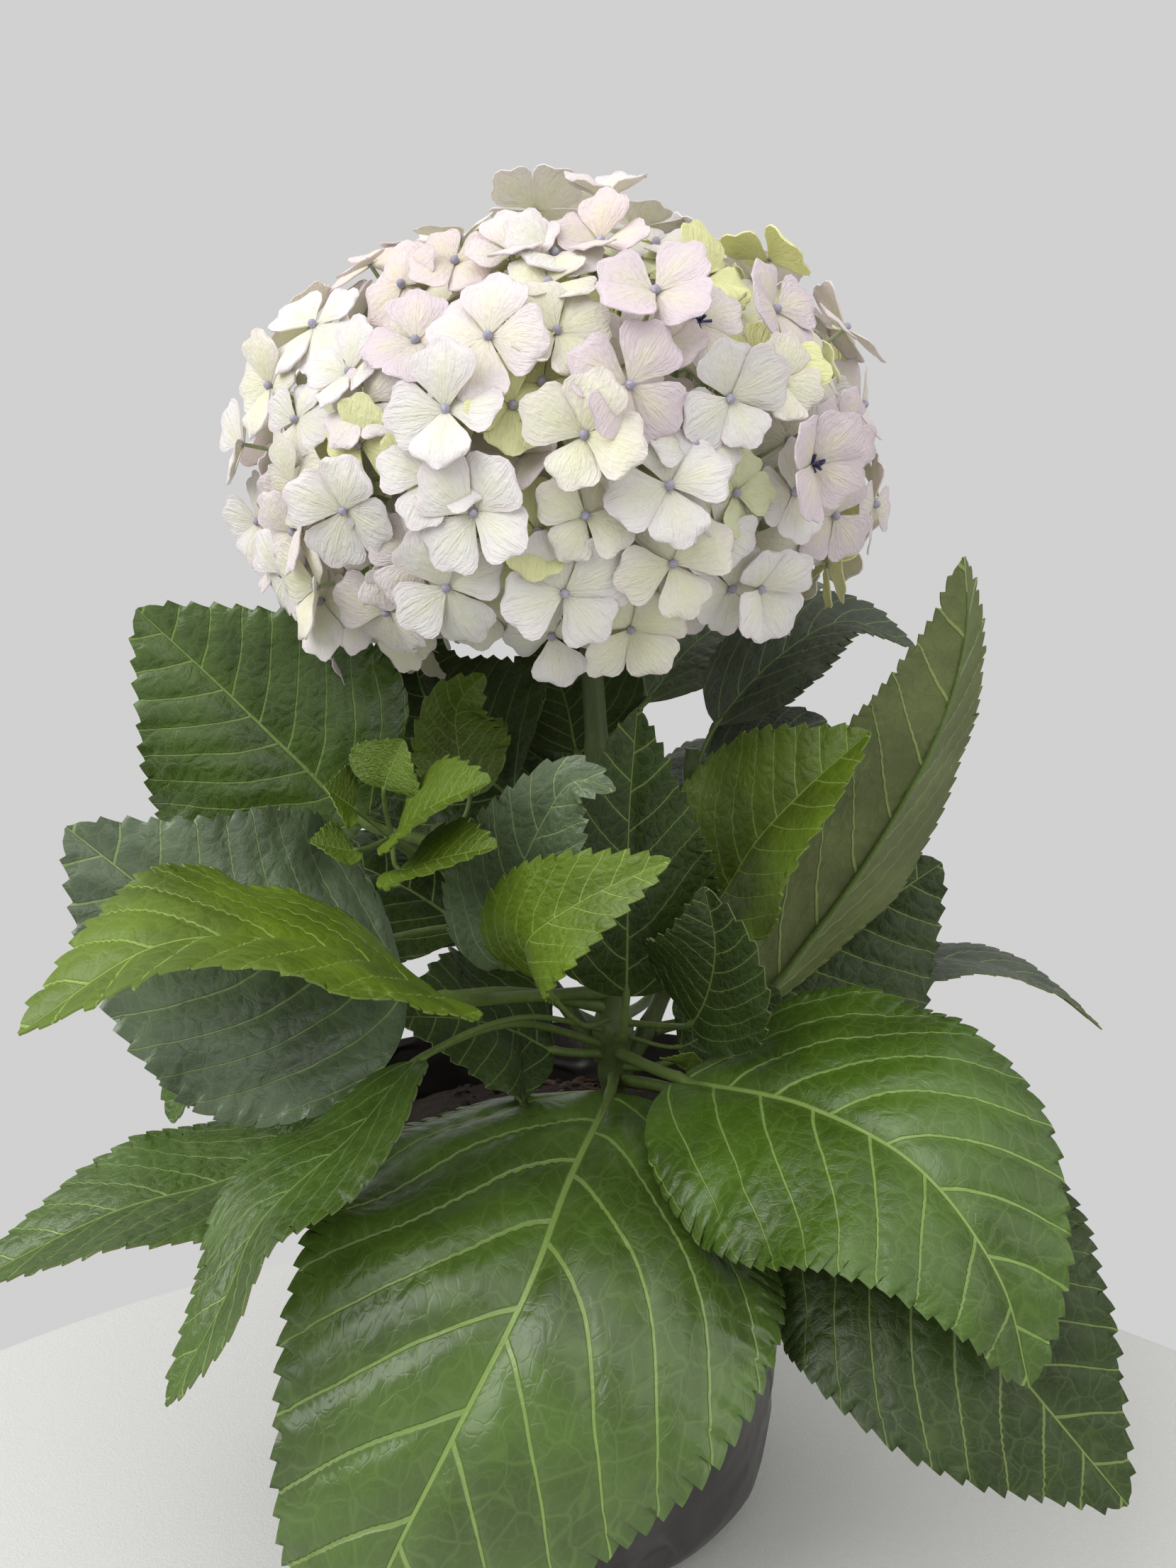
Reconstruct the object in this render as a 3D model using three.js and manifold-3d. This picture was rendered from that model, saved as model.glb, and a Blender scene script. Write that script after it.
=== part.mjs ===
import * as THREE from 'three';
import Module from 'manifold-3d';

// A potted mophead hydrangea: a soft nursery grow bag, its soil, a leaning stem with two side shoots,
// large serrated leaves on their stalks, young leaf tufts and one domed bloom.
// Millimetres, +Z up, the bag's flat underside on z = 0 and its axis on X = Y = 0.

const wasm = await Module();
wasm.setup();

// Driving dimensions
const CLEAR = 0.3; // air kept between neighbouring solids
const BAG = { radius: 79, foot: 60, corner: 20, rim: 138, dip: 15, wall: 1.8, pleats: 7, depth: 2, sides: 24 };
const SOIL = { edge: 112, mound: 17 };
const STEMS = {
  main: { radius: 5, tip: 3.6, sides: 9, path: [[24, 18, 104], [24, 18, 130], [21, 10, 205], [16, 3, 280], [13, 0, 330]] },
  left: { on: 'main', at: 146, radius: 3.4, tip: 2.4, sides: 7, path: [[-2, 20, 176], [-30, 10, 208], [-38, 0, 236]] },
  right: { on: 'main', at: 140, radius: 3.4, tip: 2.4, sides: 7, path: [[42, 26, 168], [50, 28, 215], [52, 28, 260]] },
};
const BLOOM = { centre: [6, 0, 352], across: 103, up: 80, down: 72, lean: -7, florets: 86, size: 15.5, deep: 22 };
const LEAF = { thick: 1.7, rib: 3, stalk: 2.1 }; // blade at the margin, blade at the midrib, stalk's half width

// Leaves: the shoot and height they spring from, the points their stalk and midrib pass, where the blade
// starts, its full width, the way its upper side faces at the base and at the tip, fold and droop.
const LEAVES = [
  // front and right
  { name: 'leaf_front', on: 'main', at: 141, from: 1, width: 134, fold: 0.04, droop: 0.16,
    path: [[22, -6, 143], [8, -70, 141], [-3, -108, 128], [-22, -126, 97], [-39, -130, 62], [-50, -125, 24]],
    face: [0, -0.5, 1], tip: [0, -1, 0.1] },
  { name: 'leaf_right_front', on: 'main', at: 150, from: 1, width: 104, fold: 0.1, droop: 0.12,
    path: [[44, -26, 156], [80, -66, 163], [106, -92, 156], [123, -110, 134], [130, -116, 107]],
    face: [0, -0.6, 1], tip: [0.4, -1, 0.3] },
  { name: 'leaf_right_low', on: 'main', at: 139, from: 2, width: 94, fold: 0.1, droop: 0.1,
    path: [[46, -12, 145], [78, -48, 141], [104, -76, 131], [126, -100, 109], [161, -110, 68]],
    face: [0.1, -1, 0.45], tip: [0.2, -1, 0.5] },
  { name: 'leaf_right_dark', on: 'right', at: 156, from: 1, width: 104, fold: 0.1, droop: 0.1,
    path: [[60, 26, 160], [86, 34, 174], [118, 40, 193], [150, 44, 214]],
    face: [-0.1, -1, 0.6], tip: [0, -1, 0.5] },
  { name: 'leaf_far_right', on: 'right', at: 172, from: 2, width: 44, fold: 0.15, droop: 0.1,
    path: [[70, 44, 158], [112, 58, 165], [165, 60, 171], [198, 56, 161], [220, 54, 144]],
    face: [0, -0.1, 1], tip: [0, 0, 1] },
  { name: 'leaf_curled', on: 'right', at: 172, from: 1, width: 69, fold: 0.4, droop: 0,
    path: [[68, 8, 168], [94, 2, 200], [115, -8, 238], [127, -25, 275], [129, -38, 305], [125, -46, 325]],
    face: [-0.5, 0.9, 0.1], tip: [-0.4, 1, 0] },
  { name: 'leaf_folded', on: 'right', at: 194, from: 1, width: 68, fold: 0.3, droop: 0,
    path: [[58, 6, 206], [71, -12, 234], [87, -26, 256], [102, -34, 272]],
    face: [-0.3, -0.7, 0.7], tip: [-0.4, -0.7, 0.7] },
  { name: 'leaf_right_high', on: 'right', at: 252, from: 1, width: 40, fold: 0.2, droop: 0,
    path: [[62, 38, 268], [87, 44, 294], [111, 48, 306], [138, 48, 296]],
    face: [0.1, -0.7, 1], tip: [0.2, -0.6, 1] },
  { name: 'leaf_high_right', on: 'main', at: 262, from: 1, width: 46, fold: 0.2, droop: 0,
    path: [[36, 46, 276], [58, 76, 298], [86, 92, 314], [113, 100, 321]],
    face: [0, -0.8, 1] },
  { name: 'leaf_right_mid', on: 'right', at: 236, from: 1, width: 46, fold: 0.2, droop: 0,
    path: [[64, 36, 246], [80, 40, 258], [98, 43, 262], [112, 44, 256]],
    face: [-0.1, -0.5, 1] },
  // centre
  { name: 'leaf_blue_green', on: 'main', at: 194, from: 1, width: 42, fold: 0.2, droop: 0.05,
    path: [[-14, -26, 194], [-10, -42, 220], [0, -54, 246], [10, -60, 260], [22, -63, 258]],
    face: [-0.2, -1, 0.3], tip: [0.1, -1, 0.4] },
  { name: 'leaf_centre', on: 'main', at: 157, from: 2, width: 56, fold: 0.16, droop: 0,
    path: [[26, -6, 162], [27, -14, 180], [27, -26, 212], [27, -35, 246], [29, -43, 280]],
    face: [0, -1, 0], tip: [0, -1, 0.2] },
  { name: 'leaf_young_bright', on: 'main', at: 163.5, from: 2, width: 36, fold: 0.25, droop: 0,
    path: [[12, -20, 172], [0, -46, 195], [-4, -66, 213], [12, -80, 229], [36, -90, 243]],
    face: [-0.5, -0.8, 0.25] },
  { name: 'leaf_young_right', on: 'main', at: 162, from: 2, width: 46, fold: 0.15, droop: 0,
    path: [[43, -10, 168], [48, -27, 175], [52, -40, 190], [53, -49, 208], [49, -54, 227]],
    face: [-0.7, -1, 0.2], tip: [-0.5, -1, 0.2] },
  { name: 'leaf_centre_right', on: 'main', at: 156, from: 1, width: 34, fold: 0.2, droop: 0,
    path: [[46, 2, 156], [58, -2, 164], [70, -6, 172], [80, -8, 180]],
    face: [0, -1, 0.6] },
  { name: 'leaf_centre_left', on: 'main', at: 149, from: 1, width: 52, fold: 0.15, droop: 0.1,
    path: [[2, 4, 154], [-12, -1, 163], [-28, -14, 172], [-50, -26, 177]],
    face: [0, -0.6, 0.8] },
  // left
  { name: 'leaf_left_round', on: 'left', at: 230, from: 1, width: 90, fold: 0.12, droop: 0.1,
    path: [[-62, -4, 238], [-84, -12, 262], [-106, -20, 287], [-127, -28, 310]],
    face: [-0.1, -1, 0.5], tip: [0, -1, 0.3] },
  { name: 'leaf_left_dark', on: 'main', at: 168, from: 2, width: 94, fold: 0.1, droop: 0.12,
    path: [[-12, -10, 180], [-44, -36, 187], [-74, -54, 202], [-104, -70, 224], [-130, -80, 250]],
    face: [-0.1, -1, 0.8], tip: [-0.2, -1, 0.7] },
  { name: 'leaf_left_bright', on: 'main', at: 174, from: 2, width: 84, fold: 0.15, droop: 0.05,
    path: [[-10, -24, 183], [-28, -66, 197], [-58, -100, 222], [-88, -127, 230], [-115, -144, 214]],
    face: [0, -0.35, 1], tip: [-0.1, -0.25, 1] },
  { name: 'leaf_left_low', on: 'main', at: 153, from: 3, width: 52, fold: 0.15, droop: 0,
    path: [[-10, -16, 171], [-36, -46, 172], [-60, -64, 160], [-88, -80, 148], [-116, -94, 145], [-154, -108, 130]],
    face: [0, -0.2, 1] },
  { name: 'leaf_left_long', on: 'main', at: 159, from: 2, width: 40, fold: 0.2, droop: 0.1,
    path: [[-8, -24, 176], [-36, -68, 178], [-50, -96, 168], [-70, -118, 154], [-76, -129, 140], [-90, -134, 115]],
    face: [-0.6, -0.7, 0.6], tip: [-0.8, -0.7, 0.2] },
  { name: 'leaf_left_small', on: 'left', at: 200, from: 2, width: 46, fold: 0.2, droop: 0,
    path: [[-50, -10, 200], [-88, -34, 192], [-108, -44, 174], [-117, -48, 150]],
    face: [-0.6, -0.6, 0.7], tip: [-0.8, -0.7, 0.2] },
  // high, behind the tuft
  { name: 'leaf_back_left', on: 'main', at: 238, from: 1, width: 70, fold: 0.15, droop: 0,
    path: [[-14, 20, 244], [-38, 34, 264], [-50, 44, 286], [-50, 52, 304]],
    face: [0.1, -1, 0.4] },
  { name: 'leaf_under_bloom', on: 'main', at: 254, from: 1, width: 50, fold: 0.15, droop: 0,
    path: [[10, 32, 258], [6, 50, 274], [0, 64, 290], [-4, 72, 302]],
    face: [0, -1, 0.4] },
  { name: 'leaf_left_young', on: 'left', at: 226, from: 1, width: 34, fold: 0.3, droop: 0,
    path: [[-28, 14, 244], [-32, 16, 260], [-32, 14, 276], [-22, 8, 288]],
    face: [0.4, -1, 0.3] },
  // behind
  { name: 'leaf_rear_left_low', on: 'main', at: 156, from: 2, width: 90, fold: 0.1, droop: 0.1,
    path: [[0, 44, 160], [-28, 68, 178], [-54, 88, 192], [-80, 106, 190]],
    face: [0.2, -0.4, 1], tip: [0, 0.1, 1] },
  { name: 'leaf_rear_right_low', on: 'main', at: 160, from: 2, width: 90, fold: 0.1, droop: 0.1,
    path: [[38, 44, 160], [58, 70, 176], [82, 96, 186], [104, 112, 180]],
    face: [-0.2, -0.4, 1], tip: [0, 0.1, 1] },
  { name: 'leaf_rear', on: 'main', at: 190, from: 1, width: 84, fold: 0.1, droop: 0.1,
    path: [[20, 44, 200], [14, 76, 216], [8, 106, 220], [4, 132, 206]],
    face: [0, -0.3, 1], tip: [0, 0.3, 1] },
  { name: 'leaf_rear_left_high', on: 'left', at: 220, from: 1, width: 76, fold: 0.1, droop: 0.1,
    path: [[-52, 34, 230], [-72, 58, 250], [-94, 82, 262], [-112, 102, 256]],
    face: [0.2, -0.3, 1], tip: [0, 0.1, 1] },
  { name: 'leaf_rear_right_high', on: 'right', at: 222, from: 1, width: 78, fold: 0.1, droop: 0.1,
    path: [[64, 54, 232], [80, 82, 250], [98, 108, 256], [112, 128, 244]],
    face: [-0.2, -0.3, 1], tip: [0, 0.1, 1] },
  { name: 'leaf_rear_high', on: 'main', at: 226, from: 1, width: 72, fold: 0.1, droop: 0.1,
    path: [[8, 40, 238], [2, 72, 262], [-6, 104, 272], [-10, 130, 260]],
    face: [0, -0.3, 1], tip: [0, 0.1, 1] },
  { name: 'leaf_left_back', on: 'left', at: 188, from: 1, width: 66, fold: 0.1, droop: 0.1,
    path: [[-30, 34, 190], [-56, 44, 204], [-82, 52, 212], [-104, 58, 204]],
    face: [0.1, -0.7, 1], tip: [0, -0.2, 1] },
];

// Tufts of young leaves, each joined on a short twig
const TUFTS = [
  { name: 'tuft_left', on: 'left', at: 222, twig: 2.4, path: [[-44, -16, 230], [-50, -28, 238]], leaves: [
    { path: [[-59, -36, 248], [-67, -42, 256]], width: 28, face: [0.3, -0.6, 1] },
    { path: [[-46, -40, 240], [-32, -54, 252], [-14, -66, 261]], width: 34, face: [-0.5, -0.6, 1] },
    { path: [[-44, -46, 231], [-30, -60, 237], [-12, -72, 243]], width: 30, face: [-0.2, -0.5, 1] },
    { path: [[-50, -34, 254], [-43, -38, 270]], width: 26, face: [0, -1, 0.6] },
    { path: [[-58, -42, 236], [-70, -50, 240]], width: 20, face: [0, -0.6, 1] },
  ] },
  { name: 'tuft_right', on: 'main', at: 144, twig: 1.8, path: [[38, 4, 148], [46, 0, 152]], leaves: [
    { path: [[48, -8, 152], [50, -14, 160]], width: 20, face: [0, -1, 0.5] },
    { path: [[54, -3, 148], [62, -9, 146]], width: 16, face: [-0.2, -0.8, 1] },
  ] },
];

const V = (p) => new THREE.Vector3(...p);
const mix = (a, b, t) => a + (b - a) * t;

// A seeded pseudo-random number from 0 to 1
function chance(seed) {
  const s = Math.sin(seed * 127.1 + 311.7) * 43758.5453;
  return s - Math.floor(s);
}

// Joins and cuts
function toManifold(geometry) {
  const g = geometry.clone();
  for (const name of ['normal', 'uv']) g.deleteAttribute(name);
  const welded = mergeByPlace(g);
  return new wasm.Manifold(new wasm.Mesh({
    numProp: 3, vertProperties: welded.points, triVerts: welded.faces,
  }));
}

function mergeByPlace(g) {
  const at = g.attributes.position, index = g.index, places = new Map(), points = [], faces = [];
  const seen = (i) => {
    const p = [at.getX(i), at.getY(i), at.getZ(i)], key = p.map((c) => Math.round(c * 1e4)).join();
    if (!places.has(key)) { places.set(key, points.length / 3); points.push(...p); }
    return places.get(key);
  };
  const count = index ? index.count : at.count;
  for (let i = 0; i < count; i += 3) {
    const t = [0, 1, 2].map((k) => seen(index ? index.getX(i + k) : i + k));
    if (t[0] !== t[1] && t[1] !== t[2] && t[0] !== t[2]) faces.push(...t);
  }
  return { points: new Float32Array(points), faces: new Uint32Array(faces) };
}

function toGeometry(solid) {
  const mesh = solid.getMesh(), n = mesh.numProp, p = [];
  for (let i = 0; i < mesh.vertProperties.length; i += n) p.push(...mesh.vertProperties.slice(i, i + 3));
  const g = new THREE.BufferGeometry();
  g.setAttribute('position', new THREE.Float32BufferAttribute(p, 3));
  g.setIndex([...mesh.triVerts]);
  g.computeVertexNormals();
  return g;
}

// A closed skin over rings of points that all have the same count. The ends are closed across the ring,
// from its first half to its second, so that a flat end has no thin slivers.
function skin(rings) {
  const n = rings[0].length, p = rings.flat().flatMap((v) => [v.x, v.y, v.z]), f = [];
  for (let r = 0; r < rings.length - 1; r++) {
    const a = r * n, b = a + n;
    for (let i = 0; i < n; i++) {
      const j = (i + 1) % n;
      f.push(a + i, a + j, b + j, a + i, b + j, b + i);
    }
  }
  const last = (rings.length - 1) * n;
  for (const [base, flip] of [[0, false], [last, true]]) {
    for (let low = 0, high = n - 1; low + 1 < high; ) {
      const three = (low + high) % 2 ? [low, low + 1, high] : [low, high - 1, high];
      if ((low + high) % 2) low++; else high--;
      f.push(...(flip ? three : [three[0], three[2], three[1]]).map((k) => base + k));
    }
  }
  return facing(p, f);
}

// Turns the faces outward, judged by the signed volume
function facing(p, f) {
  let volume = 0;
  const at = (i) => new THREE.Vector3(p[3 * i], p[3 * i + 1], p[3 * i + 2]);
  for (let i = 0; i < f.length; i += 3) volume += at(f[i]).dot(at(f[i + 1]).cross(at(f[i + 2])));
  if (volume < 0) for (let i = 0; i < f.length; i += 3) [f[i], f[i + 1]] = [f[i + 1], f[i]];
  const g = new THREE.BufferGeometry();
  g.setAttribute('position', new THREE.Float32BufferAttribute(p, 3));
  g.setIndex(f);
  g.computeVertexNormals();
  return g;
}

// Stems
function stemAt(stem, height) {
  let low = 0, high = 1;
  for (let i = 0; i < 30; i++) {
    const t = (low + high) / 2;
    if (stem.curve.getPointAt(t).z < height) low = t; else high = t;
  }
  return { point: stem.curve.getPointAt(low), along: stem.curve.getTangentAt(low), radius: mix(stem.radius, stem.tip, low) };
}

// The spot just off a stem's side where a stalk that heads for the target begins
function springing(on, height, target) {
  const { point, along, radius } = stemAt(STEMS[on], height);
  const away = V(target).sub(point);
  away.addScaledVector(along, -away.dot(along)).normalize();
  return { spot: point.clone().addScaledVector(away, radius + CLEAR + 0.05), away };
}

const curveOf = (points) => new THREE.CatmullRomCurve3(points, false, 'centripetal');
for (const s of Object.values(STEMS)) {
  if (s.on) s.root = springing(s.on, s.at, s.path[0]);
  s.curve = curveOf([...(s.on ? [s.root.spot] : []), ...s.path.map(V)]);
}

function rod(stem, steps, grown = 0) {
  const rings = [];
  for (let i = 0; i <= steps; i++) {
    const t = i / steps, c = stem.curve.getPointAt(t), d = stem.curve.getTangentAt(t);
    c.addScaledVector(d, i === 0 ? -grown : i === steps ? grown : 0);
    const a = new THREE.Vector3(0, -1, 0).cross(d).normalize(), b = d.clone().cross(a);
    const r = mix(stem.radius, stem.tip, t) + grown;
    rings.push(Array.from({ length: stem.sides }, (_, k) => {
      const w = (2 * Math.PI * k) / stem.sides;
      return c.clone().addScaledVector(a, r * Math.cos(w)).addScaledVector(b, r * Math.sin(w));
    }));
  }
  if (stem.root) flatten(rings[0], stem.root);
  return skin(rings);
}

// Leaves
const blade = (t) => Math.pow(Math.sin(Math.PI * Math.pow(t, 0.74)), 0.82) * (1 - 0.35 * t * t * t) + 0.02;

function leafSolid(spec) {
  const small = spec.width < 45;
  const across = small ? [-1, 0, 1] : [-1, -0.5, 0, 0.5, 1];
  const stations = small ? [0, 0.12, 0.35, 0.6, 0.85, 1] : [0, 0.07, 0.22, 0.42, 0.62, 0.82, 1];
  const root = spec.root ?? springing(spec.on, spec.at, spec.path[0]);
  const from = spec.from ?? 1;
  const points = [root.spot, ...spec.path.map(V)];
  const curve = curveOf(points), start = bladeStart(curve, points[from]);
  const stalks = [0, 0.5];
  const rings = [];
  const add = (share, t) => {
    const c = curve.getPointAt(share), d = curve.getTangentAt(share);
    const up = V(spec.face).normalize().lerp(V(spec.tip ?? spec.face).normalize(), t);
    up.addScaledVector(d, -up.dot(d)).normalize();
    const side = d.clone().cross(up).normalize();
    const inBlade = t > 0 || share >= start;
    const w = inBlade ? Math.max(LEAF.stalk, (spec.width / 2) * blade(t)) : LEAF.stalk;
    const wide = t >= 1 ? 1.1 : w;
    const line = (sign) => across.map((v) => {
      const rise = inBlade ? (spec.fold ?? 0) * Math.abs(v) - (spec.droop ?? 0) * v * v : 0;
      const wave = inBlade ? 0.05 * v * Math.abs(v) * Math.sin(9 * t + 2 * v + (spec.wave ?? 0)) : 0;
      const half = (mix(LEAF.rib, spec.thick ?? LEAF.thick, inBlade ? Math.abs(v) : 0.5 * Math.abs(v))) / 2;
      return c.clone().addScaledVector(side, v * wide).addScaledVector(up, (rise + wave) * wide + sign * half);
    });
    rings.push([...line(1), ...line(-1).reverse()]);
  };
  for (const s of stalks) add(start * s, 0);
  for (const t of stations) add(start + (1 - start) * t, t);
  flatten(rings[0], root);
  return skin(rings);
}

// The share of the curve's length at which it passes the point nearest to where the blade starts
function bladeStart(curve, target) {
  let best = 0, least = Infinity;
  for (let i = 0; i <= 200; i++) {
    const d = curve.getPointAt(i / 200).distanceTo(target);
    if (d < least) { least = d; best = i / 200; }
  }
  return best;
}

// Lays a stalk's first ring in the plane that faces its stem, so that it keeps its clearance all over
function flatten(ring, root) {
  for (const p of ring) {
    const off = p.clone().sub(root.spot);
    p.addScaledVector(root.away, -off.dot(root.away));
  }
}

// A tuft of young leaves, joined on a short twig
function tuftSolid(spec) {
  const root = springing(spec.on, spec.at, spec.path[0]);
  const twig = { radius: spec.twig, tip: spec.twig * 0.7, sides: 6, root, curve: curveOf([root.spot, ...spec.path.map(V)]) };
  let solid = toManifold(rod(twig, 4));
  for (const young of spec.leaves) {
    const point = twig.curve.getPointAt(0.95);
    const away = V(young.path[0]).sub(point).normalize();
    const leaf = leafSolid({ ...young, thick: 1.3, root: { spot: point, away } });
    solid = solid.add(toManifold(leaf));
  }
  return toGeometry(solid);
}

// Bag and soil
const bagRows = [0, 3, 9, BAG.corner, 55, 90, SOIL.edge];
const rimAt = (w) => BAG.rim - BAG.dip * Math.max(0, Math.cos(w + 1.45)) + 1.6 * Math.sin(3 * w + 0.6);

function bagRadius(z, w) {
  const c = BAG.corner, round = z < c ? Math.sqrt(1 - (1 - z / c) ** 2) : 1;
  const belly = z > c ? 2 * Math.sin((Math.PI * (z - c)) / (BAG.rim - c)) : 0;
  const pleat = Math.sin(BAG.pleats * w + z / 55) * 0.6 + Math.sin(3 * w + 1.3 - z / 80) * 0.8;
  return mix(BAG.foot, BAG.radius, round) + belly + Math.min(1, z / 40) * BAG.depth * pleat;
}

function bagRing(height, inset, share = 1, lift = () => 0) {
  return Array.from({ length: BAG.sides }, (_, k) => {
    const w = (2 * Math.PI * k) / BAG.sides, z = height(w), r = (bagRadius(z, w) - inset) * share;
    return new THREE.Vector3(r * Math.cos(w), r * Math.sin(w), z + lift(w));
  });
}

function bagSolid() {
  const outer = [...bagRows.map((z) => bagRing(() => z, 0)), bagRing(rimAt, 0)];
  const inner = bagRows.map((z) => bagRing(() => Math.max(z, BAG.wall), BAG.wall));
  return skin([...outer, bagRing(rimAt, BAG.wall), ...inner.reverse()]);
}

function soilSolid(stem) {
  const gap = BAG.wall + CLEAR + 0.05;
  const rings = bagRows.map((z) => bagRing(() => Math.max(z, BAG.wall), gap, 1, () => (z ? 0 : CLEAR + 0.05)));
  for (const share of [0.88, 0.62, 0.34, 0.08]) {
    rings.push(bagRing(() => SOIL.edge, gap, share, (w) => SOIL.mound * (1 - share ** 3)
      + 1.3 * Math.sin(3 * w + 9 * share) + Math.sin(5 * w - 7 * share)));
  }
  return toGeometry(toManifold(skin(rings.reverse())).subtract(toManifold(rod(stem, 8, CLEAR + 0.05))));
}

// Bloom
function domePoint(polar, turn) {
  const s = Math.sin(polar), c = Math.cos(polar), h = c > 0 ? BLOOM.up : BLOOM.down;
  const p = new THREE.Vector3(BLOOM.across * s * Math.cos(turn), BLOOM.across * s * Math.sin(turn), h * c);
  const n = new THREE.Vector3(p.x / BLOOM.across ** 2, p.y / BLOOM.across ** 2, p.z / h ** 2).normalize();
  return { p, n };
}

function placed(v) {
  return v.applyAxisAngle(new THREE.Vector3(0, 1, 0), (BLOOM.lean * Math.PI) / 180);
}

function floretPlaces() {
  const golden = Math.PI * (3 - Math.sqrt(5)), list = [];
  for (let i = 0; i < BLOOM.florets; i++) {
    const c = 1 - (i + 0.5) * (1.52 / BLOOM.florets);
    list.push({ polar: Math.acos(c), turn: i * golden + 0.5 * (chance(i) - 0.5) * 0.3, seed: i });
  }
  return list;
}

function floretSolid({ polar, turn, seed }) {
  const { p, n } = domePoint(polar, turn);
  const inward = 5 * chance(seed + 0.3) - 1;
  const centre = placed(p.clone().addScaledVector(n, -inward)).add(V(BLOOM.centre));
  const up = placed(n.clone());
  const side = new THREE.Vector3(0.31, -0.42, 0.85).cross(up).normalize(), fore = up.clone().cross(side);
  const size = BLOOM.size * (0.88 + 0.2 * chance(seed + 0.7)), spin = chance(seed + 0.11) * Math.PI;
  const points = [centre.clone().addScaledVector(up, 0.4)];
  for (let k = 0; k < 12; k++) {
    const w = spin + ((k - 1) * Math.PI) / 6 + (k % 3 === 0 ? 0.06 : k % 3 === 2 ? -0.06 : 0) ;
    const r = size * (k % 3 === 0 ? 0.66 : 1), low = k % 3 === 0 ? -1.6 : -0.2;
    points.push(centre.clone().addScaledVector(side, r * Math.cos(w)).addScaledVector(fore, r * Math.sin(w))
      .addScaledVector(up, low));
  }
  points.push(centre.clone().addScaledVector(up, -BLOOM.deep));
  const f = [];
  for (let k = 0; k < 12; k++) {
    const a = 1 + k, b = 1 + ((k + 1) % 12);
    f.push(0, a, b, 13, b, a);
  }
  return facing(points.flatMap((v) => [v.x, v.y, v.z]), f);
}

function bloomSolid(stem) {
  const rings = [], count = 8;
  for (let i = 1; i < count; i++) {
    const polar = (Math.PI * i) / count;
    rings.push(Array.from({ length: 12 }, (_, k) => {
      const { p, n } = domePoint(polar, (2 * Math.PI * k) / 12);
      return placed(p.addScaledVector(n, -BLOOM.deep * 0.6)).add(V(BLOOM.centre));
    }));
  }
  let solid = toManifold(skin(rings));
  const parts = floretPlaces().map((f) => toManifold(floretSolid(f)));
  solid = wasm.Manifold.union([solid, ...parts]);
  return toGeometry(solid.subtract(toManifold(rod(stem, 8, CLEAR + 0.05))));
}

// Assembly
const group = new THREE.Group();
group.name = 'potted_hydrangea';
const paint = (hex) => new THREE.MeshStandardMaterial({ color: hex, roughness: 0.7, side: THREE.DoubleSide });
function put(name, geometry, hex) {
  const mesh = new THREE.Mesh(geometry, paint(hex));
  mesh.name = name;
  group.add(mesh);
}

put('grow_bag', bagSolid(), 0x2e2c2b);
put('soil', soilSolid(STEMS.main), 0x4a3428);
put('main_stem', rod(STEMS.main, 8), 0x7f9a52);
put('left_shoot', rod(STEMS.left, 5), 0x86a257);
put('right_shoot', rod(STEMS.right, 5), 0x86a257);
for (const spec of LEAVES) put(spec.name, leafSolid(spec), 0x4c7a35);
for (const spec of TUFTS) put(spec.name, tuftSolid(spec), 0x86ad4a);
put('flower_head', bloomSolid(STEMS.main), 0xe9e2ec);

export default group;
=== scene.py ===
"""The looks of a potted mophead hydrangea: serrated leaves with sunken veins, a domed head of
four-petalled florets on forked stalks, soft stems, a creased film bag and its compost."""

import math

import bpy
import numpy as np
from mathutils import Matrix, Vector


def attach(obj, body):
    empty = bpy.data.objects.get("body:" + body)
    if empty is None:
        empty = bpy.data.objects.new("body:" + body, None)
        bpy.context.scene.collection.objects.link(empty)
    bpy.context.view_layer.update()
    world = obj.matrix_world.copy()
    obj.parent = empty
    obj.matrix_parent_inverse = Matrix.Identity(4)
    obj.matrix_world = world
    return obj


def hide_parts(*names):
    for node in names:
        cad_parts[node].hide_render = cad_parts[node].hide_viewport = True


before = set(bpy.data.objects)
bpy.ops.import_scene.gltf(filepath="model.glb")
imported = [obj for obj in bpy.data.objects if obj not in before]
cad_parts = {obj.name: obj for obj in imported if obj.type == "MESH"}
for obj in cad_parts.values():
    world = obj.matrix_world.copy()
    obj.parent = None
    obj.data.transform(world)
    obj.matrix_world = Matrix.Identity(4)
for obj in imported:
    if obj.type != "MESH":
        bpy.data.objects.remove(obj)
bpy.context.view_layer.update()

bl_info = {
    "name": "Potted mophead hydrangea",
    "version": (1, 0, 0),
    "blender": (4, 5, 0),
    "location": "3D View > Sidebar > Hydrangea",
    "description": "Builds a mophead hydrangea in a grow bag around its fixed frame",
    "category": "Add Mesh",
}

MM = 0.001

# Stems in millimetres: the stem each springs from and the height there, and half thickness at foot and tip
STEMS = {
    "main": dict(node="main_stem", radius=5, tip=3.6,
                 path=[(24, 18, 104), (24, 18, 130), (21, 10, 205), (16, 3, 280), (13, 0, 330)]),
    "left": dict(node="left_shoot", on="main", at=146, radius=3.4, tip=2.4,
                 path=[(-2, 20, 176), (-30, 10, 208), (-38, 0, 236)]),
    "right": dict(node="right_shoot", on="main", at=140, radius=3.4, tip=2.4,
                  path=[(42, 26, 168), (50, 28, 215), (52, 28, 260)]),
}


def leaf(name, on, at, start, width, fold, droop, look, path, face, tip=None):
    """A leaf: the stem and height it springs from, the point of its path where the blade starts, its full
    width, how its sides fold up and droop, its green, the points its stalk and midrib pass, and which way
    its upper side faces at the foot and at the tip."""
    return dict(node="leaf_" + name, on=on, at=at, start=start, width=width, fold=fold, droop=droop,
                look=look, path=path, face=face, tip=tip or face)


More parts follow.
